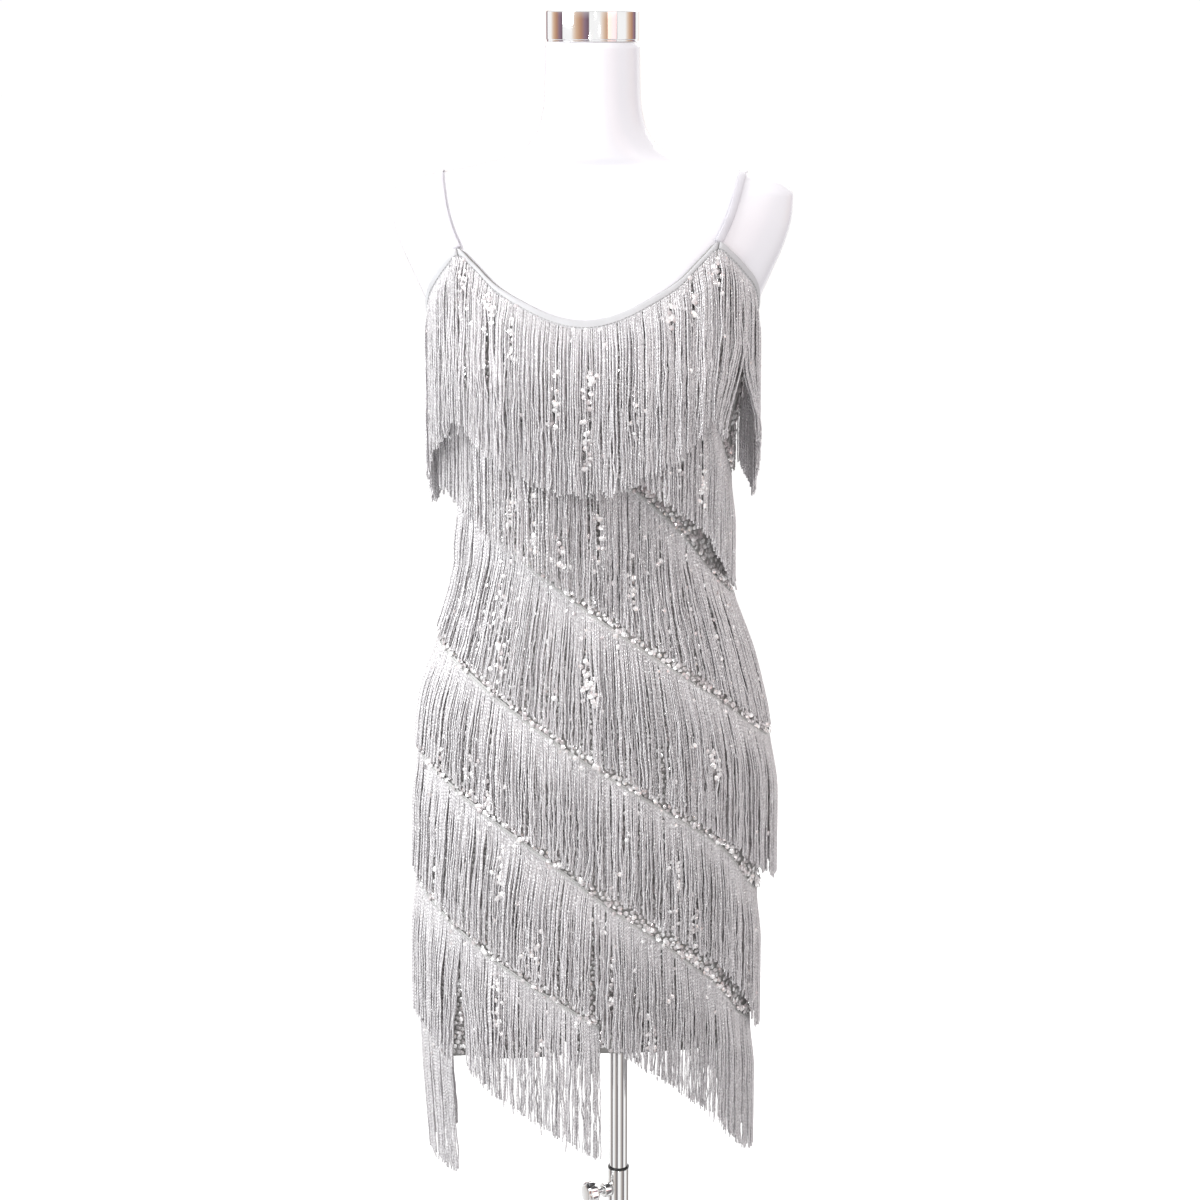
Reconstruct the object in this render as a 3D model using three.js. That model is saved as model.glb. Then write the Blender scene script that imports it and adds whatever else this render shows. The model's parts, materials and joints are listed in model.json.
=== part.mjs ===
// A sleeveless flapper dress with slanting tiers of fringe, worn by a limbless dress form on a
// chrome stand. Millimetres, +Z up, the front faces -Y, and +X is the wearer's left.
// The origin is the centre of the base plate's underside, on the pole's axis.
//
// Every cloth piece is worked out from one surface: a stack of oval sections. A place on it is a
// turn (radians, 0 at the centre front, a quarter turn at the wearer's left seam) and a height.
import * as THREE from "three";

// ---------------------------------------------------------------- driving dimensions
const FIGURE_X = -28; // the dress form's centre plane, seen from the pole
const FORM_FOOT = 640; // lower end of the dress form
const NECK_TOP = 1534; // upper end of its neck
const CLOTH_EASE = 3.5; // outer face of the cloth, out from the form
const CLOTH_WALL = 1.5; // stretch cloth with its sequins
const SEAM_TURN = 0.0026; // turn left bare on each side of a side seam, a quarter millimetre
const LAY_ON = 2; // what is sewn on stands this far out from the cloth
const TAPE_HEIGHT = 9;
const TAPE_THICK = 1.6;
const TURN_WEIGHT = 170; // columns crowd where the cloth turns: millimetres for each radian
const LOCK_SHARE = 0.8; // part of the pitch that the lock fills
const LOCK_END = 0.82; // width of a lock's end over its root
const BINDING_HEIGHT = 8;
const BINDING_THICK = 1.2;
const BINDING_LIP = 0.8; // how far the binding stands above the raw edge
const BINDING_GAP = 2.2; // from the binding down to the first tape
const STRAP_WIDTH = 8;
const STRAP_THICK = 1.6;
const STRAP_CLEAR = 1.3; // from the cloth's edge to the strap's end, past the binding's lip
const STRAP_LIFT = 1.2; // clear of the skin over the shoulder
const STRAP_SETTLE = 0.15; // part of its length over which the strap sinks from cloth to skin
const STRAP_TOP_X = 155;
const RIB_LINE = 1088; // rows of a panel lie closer above this height

// Sections of the figure: height, half width, depth to the front and to the back, and how far
// the section's middle is moved along X. Rows below the form's foot are the free skirt.
const FIGURE = [
  { z: 440, half: 171, front: 98, back: 112, shift: -8 },
  { z: 540, half: 175.5, front: 101, back: 115, shift: -9.5 },
  { z: 640, half: 178, front: 103, back: 120, shift: -7 },
  { z: 720, half: 184, front: 105, back: 126, shift: 2 },
  { z: 780, half: 183, front: 107, back: 127, shift: 2 },
  { z: 830, half: 178, front: 108, back: 120, shift: 1 },
  { z: 880, half: 168, front: 107, back: 108, shift: 0 },
  { z: 930, half: 153, front: 102, back: 97, shift: 0 },
  { z: 980, half: 138, front: 94, back: 89, shift: 0 },
  { z: 1020, half: 131, front: 89, back: 86, shift: 0 },
  { z: 1060, half: 133, front: 89, back: 88, shift: 0 },
  { z: 1100, half: 140, front: 91, back: 92, shift: 0 },
  { z: 1150, half: 146, front: 92, back: 98, shift: 0 },
  { z: 1200, half: 153, front: 91, back: 103, shift: 0 },
  { z: 1240, half: 161, front: 88, back: 105, shift: 0 },
  { z: 1275, half: 173, front: 82, back: 103, shift: 0 },
  { z: 1300, half: 184, front: 77, back: 98, shift: 0 },
  { z: 1330, half: 197, front: 71, back: 90, shift: 0 },
  { z: 1360, half: 205, front: 64, back: 80, shift: 0 },
  { z: 1380, half: 206, front: 57, back: 70, shift: 0 },
  { z: 1393, half: 195, front: 48, back: 62, shift: 0 },
  { z: 1402, half: 162, front: 43, back: 56, shift: 0 },
  { z: 1410, half: 120, front: 43, back: 53, shift: 0 },
  { z: 1420, half: 84, front: 47, back: 51, shift: 0 },
  { z: 1434, half: 63, front: 50, back: 48, shift: 0 },
  { z: 1454, half: 53, front: 51, back: 45, shift: 0 },
  { z: 1480, half: 49, front: 50, back: 44, shift: 0 },
  { z: NECK_TOP, half: 48, front: 49, back: 44, shift: 0 },
];

// The bust: height and place of each cup's middle, how far it stands out, and its spread.
const BUST = { z: 1188, x: 74, depth: 33, sideways: 52, above: 74, below: 64 };
const CLOTH_BRIDGE = 0.14; // share of the cup's depth lost between the cups, cloth and form
const FORM_BRIDGE = 0.5;

// Top edge of the cloth: side is how far from the centre (0) to the side seam (1).
const FRONT_EDGE = [
  { side: 0, z: 1261 },
  { side: 0.07, z: 1262 },
  { side: 0.19, z: 1267 },
  { side: 0.38, z: 1283 },
  { side: 0.5, z: 1298 },
  { side: 0.59, z: 1320 },
  { side: 0.65, z: 1333 },
  { side: 0.73, z: 1322 },
  { side: 0.82, z: 1307 },
  { side: 0.91, z: 1290 },
  { side: 0.97, z: 1269 },
  { side: 1, z: 1241 },
];
const BACK_EDGE = [
  { side: 0, z: 1214 },
  { side: 0.2, z: 1219 },
  { side: 0.4, z: 1240 },
  { side: 0.5, z: 1262 },
  { side: 0.58, z: 1288 },
  { side: 0.72, z: 1276 },
  { side: 0.88, z: 1260 },
  { side: 1, z: 1241 },
];
const FRONT_STRAP_SIDE = 0.65;
const BACK_STRAP_SIDE = 0.58;
const DRESS_TURN = -2; // degrees by which the dress sits turned on the form
const DRESS_TILT = 5; // how much its left side is pulled up, and its right side down

// Hem of the cloth, from the wearer's right seam (-1) to the left one (1), and the small arch
// where the front hem lifts.
const HEM = [
  { side: -1, z: 453 },
  { side: -0.78, z: 467 },
  { side: -0.3, z: 479 },
  { side: 0, z: 486 },
  { side: 0.7, z: 481 },
  { side: 1, z: 483 },
];
const HEM_ARCH = { side: -0.12, lift: 15, spread: 0.06 };

// The soft troughs of the free skirt. turn and wide are in degrees, depth is at the hem.
const FOLDS = [
  { turn: -46, wide: 6, depth: 8 },
  { turn: 27, wide: 9, depth: 4 },
  { turn: 70, wide: 8, depth: 5 },
  { turn: 128, wide: 9, depth: 6 },
  { turn: 176, wide: 10, depth: 4 },
  { turn: -138, wide: 9, depth: 6 },
];
const FOLD_HEIGHT = 170; // from the form's foot down to where the folds are deepest

// The rows of fringe. rise is how far a row swings out at the centre, over the row below,
// sideRise how far at the side seams, and reach is the drop that this takes. length is from the
// tape's lower edge to the fringe's ends. parting is where the locks hang apart: the turn, how
// wide and how far, in degrees. over is where they hang at full length over the next row.
// bends are the parts of the length at which a lock's sides bend.
const YOKE = {
  name: "fringe_yoke", locks: 46, rise: 8.5, sideRise: 3.5, reach: 25, length: 152,
  bends: [0.1, 0.4, 1], parting: { turn: 58, wide: 20, shift: 4 },
};

// The slanting rows, the same on the front and on the back. heights is the tape's middle at
// each of the TIER_STATIONS. from and to are the turns, in degrees, between which the tape runs.
// The fringe above a covered row hangs over its tape.
const TIERS = [
  {
    name: "fringe_breast", from: 15, to: 148, locks: 16, length: 128,
    heights: [1374, 1333, 1252, 1183, 1090],
  },
  {
    name: "fringe_ribs", from: -180, to: 180, locks: 34, length: 142, sideRise: 2.5,
    heights: [1200, 1176, 1117, 1031, 962],
  },
  {
    name: "fringe_waist", from: -180, to: 180, locks: 30, length: 148,
    heights: [1070, 1030, 958, 869, 808],
  },
  {
    name: "fringe_hip", from: -180, to: 180, locks: 30, length: 148, over: { turn: 90, wide: 17 },
    heights: [915, 884, 798, 704, 636],
  },
  {
    name: "fringe_seat", from: -180, to: 180, locks: 30, length: 144,
    heights: [795, 755, 663, 562, 490],
  },
  {
    name: "fringe_thigh", from: -185, to: 5, locks: 15, length: 142,
    heights: [652, 606, 523, 440, 400],
    parting: { turn: -46, wide: 22, shift: 3 },
  },
  {
    name: "fringe_hem", from: -130, to: -54, locks: 7, length: 142, rise: 1, sideRise: 1,
    covered: true, heights: [493, 473, 440, 400, 380],
  },
];
const TIER_STATIONS = [-1, -0.7, 0, 0.7, 1]; // wearer's right seam, centre, left seam
const TIER_SWING = { rise: 5, sideRise: 5, reach: 60, bends: [0.28, 1] };
const ENDS_CLEAR = 9; // where the next row is near, fringe ends this far above its tape
const LEAST_LENGTH = 0.72; // but it is never shorter than this part of its length

// The stand.
const CAP = { radius: 47, height: 31, round: 3 };
const POLE = { upper: 10, lower: 11.5, bore: 10.4, upperFoot: 150, lowerTop: 314 };
const FLANGE = { radius: 38, height: 6, round: 1 };
const SOCKET = { radius: 21, height: 26, round: 4 };
const PLATE = { radius: 145, height: 9, round: 3 };
const RING = { radius: 12.6, height: 2.4 };
const BOSS = { z: 288, radius: 8, out: 8 };
const KNOB = { radius: 13, length: 13, stem: 4, stemLength: 9, turn: 28 };

const COLOURS = {
  cloth: 0xa9a5a6,
  fringe: 0xb9b5b6,
  binding: 0xc9c7ca,
  form: 0xf3f0f4,
  chrome: 0xc9ccd0,
  ring: 0x2a2a2c,
};

// ---------------------------------------------------------------- curves through tables
// Value of one column of a table at a place, smooth and without overshoot between its rows.
function read(table, key, column, at) {
  const last = table.length - 1;
  const x = THREE.MathUtils.clamp(at, table[0][key], table[last][key]);
  let i = 0;
  while (i < last - 1 && x > table[i + 1][key]) i += 1;
  const step = (k) => table[k + 1][key] - table[k][key];
  const slope = (k) => (table[k + 1][column] - table[k][column]) / step(k);
  const tangent = (k) => {
    if (k === 0) return slope(0);
    if (k === last) return slope(last - 1);
    const before = slope(k - 1);
    const after = slope(k);
    return before * after > 0 ? (2 * before * after) / (before + after) : 0;
  };
  const t = (x - table[i][key]) / step(i);
  const rest = 1 - t;
  return (
    table[i][column] * (1 + 2 * t) * rest * rest +
    tangent(i) * step(i) * t * rest * rest +
    table[i + 1][column] * (3 - 2 * t) * t * t -
    tangent(i + 1) * step(i) * t * t * rest
  );
}

const smoothstep = (t) => THREE.MathUtils.smoothstep(t, 0, 1);
const radians = (degrees) => (degrees * Math.PI) / 180;

// ---------------------------------------------------------------- the figure's surface
// How far a cup stands out at x and z. bridge is the share of its depth lost between the cups.
function cup(x, z, bridge) {
  const spread = z > BUST.z ? BUST.above : BUST.below;
  const high = Math.exp(-(((z - BUST.z) / spread) ** 2));
  const aside = Math.abs(x) - BUST.x;
  const wide = aside > 0
    ? Math.exp(-((aside / BUST.sideways) ** 2))
    : 1 - bridge * (1 - (x / BUST.x) ** 2) ** 2;
  return BUST.depth * high * wide;
}

// A point on the figure moved out by some distance, before the pole's offset is added.
function onFigure(turn, z, out, bridge) {
  const half = read(FIGURE, "z", "half", z);
  const x = read(FIGURE, "z", "shift", z) + (half + out) * Math.sin(turn);
  const forward = Math.cos(turn);
  if (forward < 0) {
    return [x, -(read(FIGURE, "z", "back", z) + out) * forward, z];
  }
  const bust = cup(half * Math.sin(turn), z, bridge);
  return [x, -(read(FIGURE, "z", "front", z) + out) * forward - bust, z];
}

// Signed way from one turn to another, the short way round.
const between = (from, to) => Math.atan2(Math.sin(to - from), Math.cos(to - from));

// How far the skirt is drawn in by its folds.
function fold(turn, z) {
  const grown = smoothstep((FORM_FOOT - z) / FOLD_HEIGHT);
  return FOLDS.reduce((sum, trough) => {
    const away = between(radians(trough.turn), turn) / radians(trough.wide);
    return sum + trough.depth * grown * Math.exp(-away * away);
  }, 0);
}

function onCloth(turn, z, out) {
  return onFigure(turn, z, CLOTH_EASE + out - fold(turn, z), CLOTH_BRIDGE);
}

// Where a strand hangs that is sewn on at one height: it rests on the cloth where the cloth
// widens below it and drops plumb where the cloth falls away.
function hung(turn, from, z, out) {
  const CHECKS = 12;
  const point = onCloth(turn, z, out);
  for (let i = 0; i < CHECKS; i += 1) {
    const higher = onCloth(turn, z + ((from - z) * (i + 1)) / CHECKS, out);
    if (Math.abs(higher[0]) > Math.abs(point[0])) point[0] = higher[0];
    if (Math.abs(higher[1]) > Math.abs(point[1])) point[1] = higher[1];
  }
  return point;
}

function topEdge(turn) {
  const own = turn - radians(DRESS_TURN);
  const edge = Math.cos(own) >= 0 ? FRONT_EDGE : BACK_EDGE;
  return read(edge, "side", "z", Math.abs(Math.sin(own))) + DRESS_TILT * Math.sin(own);
}

// Turns at which a strap meets the front edge and the back edge. sign is the side.
function strapTurns(sign) {
  return {
    front: sign * Math.asin(FRONT_STRAP_SIDE) + radians(DRESS_TURN),
    back: sign * (Math.PI - Math.asin(BACK_STRAP_SIDE)) + radians(DRESS_TURN),
  };
}

function hem(turn) {
  const side = Math.sin(turn);
  const away = (side - HEM_ARCH.side) / HEM_ARCH.spread;
  const arch = Math.cos(turn) >= 0 ? HEM_ARCH.lift * Math.exp(-away * away) : 0;
  return read(HEM, "side", "z", side) + arch;
}

// ---------------------------------------------------------------- closed shells
// A solid from its points and its quads, turned to face outwards.
function solid(points, quads) {
  const at = (i) => new THREE.Vector3(...points[i]);
  const faces = quads.flatMap(([a, b, c, d]) => [[a, b, c], [a, c, d]]);
  const volume = faces.reduce((sum, [a, b, c]) => sum + at(a).dot(at(b).cross(at(c))), 0);
  const index = faces.flatMap((face) => (volume < 0 ? [...face].reverse() : face));
  const geometry = new THREE.BufferGeometry();
  geometry.setAttribute("position", new THREE.Float32BufferAttribute(points.flat(), 3));
  geometry.setIndex(index);
  geometry.computeVertexNormals();
  return geometry;
}

// A wall with an outer and an inner face: sheet(i, j, out) gives the point of column i, row j.
function wall(columns, rows, sheet, outer, inner) {
  const points = [];
  for (const out of [outer, inner]) {
    for (let i = 0; i <= columns; i += 1) {
      for (let j = 0; j <= rows; j += 1) points.push(sheet(i, j, out));
    }
  }
  const id = (face, i, j) => face * (columns + 1) * (rows + 1) + i * (rows + 1) + j;
  const quads = [];
  for (let i = 0; i < columns; i += 1) {
    for (let j = 0; j < rows; j += 1) {
      quads.push([id(0, i, j), id(0, i + 1, j), id(0, i + 1, j + 1), id(0, i, j + 1)]);
      quads.push([id(1, i, j), id(1, i, j + 1), id(1, i + 1, j + 1), id(1, i + 1, j)]);
    }
    quads.push([id(0, i, 0), id(1, i, 0), id(1, i + 1, 0), id(0, i + 1, 0)]);
    quads.push([id(0, i, rows), id(0, i + 1, rows), id(1, i + 1, rows), id(1, i, rows)]);
  }
  for (let j = 0; j < rows; j += 1) {
    quads.push([id(0, 0, j), id(0, 0, j + 1), id(1, 0, j + 1), id(1, 0, j)]);
    quads.push([
      id(0, columns, j), id(1, columns, j), id(1, columns, j + 1), id(0, columns, j + 1),
    ]);
  }
  return solid(points, quads);
}

// Turns at equal spacings along a line on the cloth whose height is line(turn).
function spaced(line, from, to, count) {
  const STEPS = 720;
  const turns = Array.from({ length: STEPS + 1 }, (_, i) => from + ((to - from) * i) / STEPS);
  const places = turns.map((turn) => new THREE.Vector3(...onCloth(turn, line(turn), 0)));
  const run = [0];
  const turning = (TURN_WEIGHT * (to - from)) / STEPS;
  for (let i = 1; i <= STEPS; i += 1) {
    run.push(run[i - 1] + places[i].distanceTo(places[i - 1]) + turning);
  }
  const total = run[STEPS];
  const found = [];
  let k = 0;
  for (let n = 0; n <= count; n += 1) {
    const want = (total * n) / count;
    while (k < STEPS - 1 && run[k + 1] < want) k += 1;
    const part = (want - run[k]) / Math.max(run[k + 1] - run[k], 1e-9);
    found.push(turns[k] + (turns[k + 1] - turns[k]) * THREE.MathUtils.clamp(part, 0, 1));
  }
  return found;
}

const FULL_TURN = 2 * Math.PI;
const isRound = (from, to) => Math.abs(to - from - FULL_TURN) < 1e-6;

// How far a lock's middle is moved aside, at its end, by a parting.
function parted(parting, middle) {
  if (!parting) return 0;
  const away = between(radians(parting.turn), middle);
  const near = Math.exp(-((away / radians(parting.wide)) ** 2));
  return Math.sign(away) * radians(parting.shift) * near;
}

// One tape with its fringe: a strip along the line, with a lock of four sides growing from its
// lower edge between each pair of columns. next is the line of the row below, where it has one.
function fringe(line, next, from, to, row) {
  const { locks, reach, bends, over } = row;
  const round = isRound(from, to);
  const edges = spaced(line, from, to, locks);
  const columns = [];
  for (let k = 0; k < locks; k += 1) {
    columns.push({ turn: edges[k], middle: edges[k] + ((edges[k + 1] - edges[k]) * LOCK_SHARE) / 2 });
    columns.push({
      turn: edges[k] + (edges[k + 1] - edges[k]) * LOCK_SHARE,
      middle: columns[columns.length - 1].middle,
    });
  }
  const points = [];
  const quads = [];
  const corner = { topOut: 0, topIn: 1, lowOut: 2, lowIn: 3 };
  for (const { turn } of columns) {
    const z = line(turn);
    for (const height of [z + TAPE_HEIGHT / 2, z - TAPE_HEIGHT / 2]) {
      points.push(onCloth(turn, height, LAY_ON + TAPE_THICK), onCloth(turn, height, LAY_ON));
    }
  }
  const strip = (column, name) => (column % columns.length) * 4 + corner[name];
  const spans = round ? columns.length : columns.length - 1;
  for (let i = 0; i < spans; i += 1) {
    const face = (a, b) => [strip(i, a), strip(i + 1, a), strip(i + 1, b), strip(i, b)];
    quads.push(face("topOut", "lowOut"), face("lowIn", "topIn"), face("topIn", "topOut"));
    if (i % 2 === 1) quads.push(face("lowOut", "lowIn"));
  }
  if (!round) {
    const end = (i, order) => quads.push(order.map((name) => strip(i, name)));
    end(0, ["topOut", "lowOut", "lowIn", "topIn"]);
    end(columns.length - 1, ["topOut", "topIn", "lowIn", "lowOut"]);
  }
  for (let k = 0; k < locks; k += 1) {
    let above = [2 * k, 2 * k + 1].flatMap((i) => [strip(i, "lowOut"), strip(i, "lowIn")]);
    const lockTurn = columns[2 * k].middle;
    const free = over && Math.abs(between(radians(over.turn), lockTurn)) < radians(over.wide);
    const room = free ? row.length : line(lockTurn) - next(lockTurn) - TAPE_HEIGHT - ENDS_CLEAR;
    const length = Math.min(row.length, Math.max(room, LEAST_LENGTH * row.length));
    const rise = row.sideRise + (row.rise - row.sideRise) * Math.cos(lockTurn) ** 4;
    for (const bend of bends) {
      const drop = length * bend;
      const narrow = 1 - (1 - LOCK_END) * bend;
      const aside = parted(row.parting, lockTurn) * smoothstep(bend);
      const swing = LAY_ON + rise * smoothstep(drop / reach);
      const below = [];
      for (const { turn, middle } of [columns[2 * k], columns[2 * k + 1]]) {
        const place = middle + (turn - middle) * narrow + aside;
        const root = line(turn) - TAPE_HEIGHT / 2;
        for (const out of [swing + TAPE_THICK, swing]) {
          below.push(points.length);
          points.push(hung(place, root, root - drop, out));
        }
      }
      const [a, b, c, d] = above;
      const [e, f, g, h] = below;
      quads.push([a, c, g, e], [d, b, f, h], [c, d, h, g], [b, a, e, f]);
      above = below;
    }
    quads.push([above[0], above[2], above[3], above[1]]);
  }
  return solid(points, quads);
}

// ---------------------------------------------------------------- the dress
function panel(middle, columns, skirtRows, bodiceRows) {
  const quarter = Math.PI / 2 - SEAM_TURN;
  return wall(
    columns,
    skirtRows + bodiceRows,
    (i, j, out) => {
      const turn = middle + quarter * (-1 + (2 * i) / columns);
      const low = hem(turn);
      const high = topEdge(turn);
      const z = j < skirtRows
        ? low + ((RIB_LINE - low) * j) / skirtRows
        : RIB_LINE + ((high - RIB_LINE) * (j - skirtRows)) / bodiceRows;
      return onCloth(turn, z, out);
    },
    0,
    -CLOTH_WALL,
  );
}

// A strip of binding along the top edge between two turns.
function binding(from, to, columns) {
  const turns = spaced(topEdge, from, to, columns);
  return wall(
    columns,
    1,
    (i, j, out) => {
      const top = topEdge(turns[i]) + BINDING_LIP;
      return onCloth(turns[i], j === 1 ? top : top - BINDING_LIP - BINDING_HEIGHT, out);
    },
    LAY_ON + BINDING_THICK,
    LAY_ON,
  );
}

// Height of a slanting tape at a turn.
function tierLine(heights) {
  const stations = TIER_STATIONS.map((side, i) => ({ side, z: heights[i] }));
  return (turn) => read(stations, "side", "z", Math.sin(turn));
}

// Under 1 inside the form at a point, 1 on its skin and over 1 outside, above the bust.
function ovalLevel(place) {
  const half = read(FIGURE, "z", "half", place.z);
  const depth = read(FIGURE, "z", place.y < 0 ? "front" : "back", place.z);
  return (place.x / half) ** 2 + (place.y / depth) ** 2;
}

// The form's skin where a ray from inside leaves it, and the way out from the skin there.
function skinAlong(hub, ray) {
  let near = 0;
  let far = 150;
  for (let i = 0; i < 40; i += 1) {
    const middle = (near + far) / 2;
    if (ovalLevel(hub.clone().addScaledVector(ray, middle)) < 1) near = middle;
    else far = middle;
  }
  const place = hub.clone().addScaledVector(ray, near);
  const rate = (axis) => {
    const ahead = place.clone().addScaledVector(axis, 0.5);
    const behind = place.clone().addScaledVector(axis, -0.5);
    return ovalLevel(ahead) - ovalLevel(behind);
  };
  const out = new THREE.Vector3(
    rate(new THREE.Vector3(1, 0, 0)), rate(new THREE.Vector3(0, 1, 0)), rate(new THREE.Vector3(0, 0, 1)),
  );
  return { place, out: out.normalize() };
}

// A flat strap from the front edge, over the shoulder, to the back edge. sign is the side.
function strap(sign) {
  const STEPS = 20;
  const HUB_Z = 1312; // the strap's rays start at this height, inside the shoulder
  const turns = strapTurns(sign);
  const front = onCloth(turns.front, topEdge(turns.front) + STRAP_CLEAR, 0);
  const back = onCloth(turns.back, topEdge(turns.back) + STRAP_CLEAR, 0);
  front[0] *= sign;
  back[0] *= sign;
  const angleOf = ([, y, z]) => Math.atan2(z - HUB_Z, y);
  const stations = [];
  for (let i = 0; i <= STEPS; i += 1) {
    const t = i / STEPS;
    const angle = angleOf(front) + (angleOf(back) - angleOf(front)) * t;
    const bow = (STRAP_TOP_X - (front[0] + back[0]) / 2) * Math.sin(Math.PI * t);
    const x = front[0] + (back[0] - front[0]) * t + bow;
    const ray = new THREE.Vector3(0, Math.cos(angle), Math.sin(angle));
    const { place, out } = skinAlong(new THREE.Vector3(x, 0, HUB_Z), ray);
    const settle = smoothstep(Math.min(t, 1 - t) / STRAP_SETTLE);
    place.addScaledVector(out, CLOTH_EASE - CLOTH_WALL + (STRAP_LIFT - CLOTH_EASE + CLOTH_WALL) * settle);
    stations.push({ place, out });
  }
  const points = [];
  const quads = [];
  stations.forEach(({ place, out }, i) => {
    const before = stations[Math.max(i - 1, 0)].place;
    const along = stations[Math.min(i + 1, STEPS)].place.clone().sub(before).normalize();
    const up = out.clone().addScaledVector(along, -out.dot(along)).normalize();
    const across = new THREE.Vector3().crossVectors(along, up);
    for (const [aside, lift] of [[1, 0], [1, 1], [-1, 1], [-1, 0]]) {
      const corner = place.clone()
        .addScaledVector(across, (aside * STRAP_WIDTH) / 2)
        .addScaledVector(up, lift * STRAP_THICK);
      points.push([sign * corner.x, corner.y, corner.z]);
    }
    if (i === 0) return;
    for (let k = 0; k < 4; k += 1) {
      const next = (k + 1) % 4;
      quads.push([4 * i - 4 + k, 4 * i - 4 + next, 4 * i + next, 4 * i + k]);
    }
  });
  const last = 4 * STEPS;
  quads.push([0, 3, 2, 1], [last, last + 1, last + 2, last + 3]);
  return solid(points, quads);
}

// ---------------------------------------------------------------- the dress form
function torso() {
  const SIDES = 28;
  const ROW_STEP = 42; // greatest height between two rings of the trunk
  const heights = [FORM_FOOT];
  for (const { z } of FIGURE) {
    const below = heights[heights.length - 1];
    const parts = Math.ceil((z - below) / ROW_STEP);
    for (let k = 1; k <= parts; k += 1) heights.push(below + ((z - below) * k) / parts);
  }
  const points = [[read(FIGURE, "z", "shift", FORM_FOOT), 0, FORM_FOOT], [0, 0, NECK_TOP]];
  const ring = (row, i) => 2 + row * SIDES + (i % SIDES);
  for (const z of heights) {
    for (let i = 0; i < SIDES; i += 1) {
      points.push(onFigure((FULL_TURN * i) / SIDES, z, 0, FORM_BRIDGE));
    }
  }
  const quads = [];
  const top = heights.length - 1;
  for (let i = 0; i < SIDES; i += 1) {
    for (let row = 0; row < top; row += 1) {
      quads.push([ring(row, i), ring(row, i + 1), ring(row + 1, i + 1), ring(row + 1, i)]);
    }
  }
  for (let i = 0; i < SIDES; i += 2) {
    quads.push([0, ring(0, i + 2), ring(0, i + 1), ring(0, i)]);
    quads.push([1, ring(top, i), ring(top, i + 1), ring(top, i + 2)]);
  }
  return solid(points, quads);
}

// A turned piece from its profile of radius and height, about the Z axis.
function turned(profile, sides) {
  const outline = profile.map(([radius, z]) => new THREE.Vector2(radius, z));
  const geometry = new THREE.LatheGeometry(outline, sides);
  return geometry.rotateX(Math.PI / 2);
}

// A disc with a rounded upper rim.
function disc(radius, low, height, round, sides) {
  const top = low + height;
  return turned([
    [0, low], [radius, low], [radius, top - round],
    [radius - 0.3 * round, top - 0.3 * round], [radius - round, top], [0, top],
  ], sides);
}

// A tube from low to high.
function tube(bore, radius, low, high, sides) {
  return turned([[bore, low], [radius, low], [radius, high], [bore, high], [bore, low]], sides);
}

const GAP = 0.3; // left between two pieces of the stand that touch

// ---------------------------------------------------------------- assembly
function material(colour, roughness, metalness) {
  return new THREE.MeshStandardMaterial({ color: colour, roughness, metalness });
}

const clothFinish = material(COLOURS.cloth, 0.55, 0.2);
const fringeFinish = material(COLOURS.fringe, 0.7, 0.1);
const bindingFinish = material(COLOURS.binding, 0.45, 0);
const formFinish = material(COLOURS.form, 0.35, 0);
const chromeFinish = material(COLOURS.chrome, 0.08, 1);
const ringFinish = material(COLOURS.ring, 0.5, 0);

const part = new THREE.Group();
const figure = new THREE.Group();
figure.position.x = FIGURE_X;
part.add(figure);

function place(parent, name, geometry, finish) {
  const mesh = new THREE.Mesh(geometry, finish);
  mesh.name = name;
  parent.add(mesh);
  return mesh;
}

function addDress() {
  place(figure, "dress_front", panel(0, 28, 14, 11), clothFinish);
  place(figure, "dress_back", panel(Math.PI, 24, 14, 5), clothFinish);
  const left = strapTurns(1);
  const right = strapTurns(-1);
  const strip = (name, from, to, columns) => {
    const apart = 0.004; // turn left between two bindings that meet
    place(figure, name, binding(from + apart, to - apart, columns), bindingFinish);
  };
  strip("binding_neck_front", right.front, left.front, 26);
  strip("binding_armhole_left", left.front, left.back, 18);
  strip("binding_neck_back", left.back, FULL_TURN + right.back, 20);
  strip("binding_armhole_right", right.back, right.front, 18);
  place(figure, "strap_left", strap(1), bindingFinish);
  place(figure, "strap_right", strap(-1), bindingFinish);
}

// Height of the row below at a turn, or nothing to stop the fringe where that row has ended.
function rowBelow(tier) {
  if (!tier || tier.covered) return () => -Infinity;
  const line = tierLine(tier.heights);
  const half = radians(tier.to - tier.from) / 2;
  const middle = radians(tier.to + tier.from) / 2;
  return (turn) => (Math.abs(between(middle, turn)) <= half ? line(turn) : -Infinity);
}

function addFringe() {
  const under = BINDING_HEIGHT + BINDING_GAP + TAPE_HEIGHT / 2;
  const yokeLine = (turn) => topEdge(turn) - under;
  place(figure, YOKE.name, fringe(yokeLine, rowBelow(), -Math.PI, Math.PI, YOKE), fringeFinish);
  TIERS.forEach((tier, i) => {
    const row = { ...TIER_SWING, ...tier };
    const ends = [radians(tier.from), radians(tier.to)];
    const strands = fringe(tierLine(tier.heights), rowBelow(TIERS[i + 1]), ...ends, row);
    place(figure, tier.name, strands, fringeFinish);
  });
}

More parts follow.
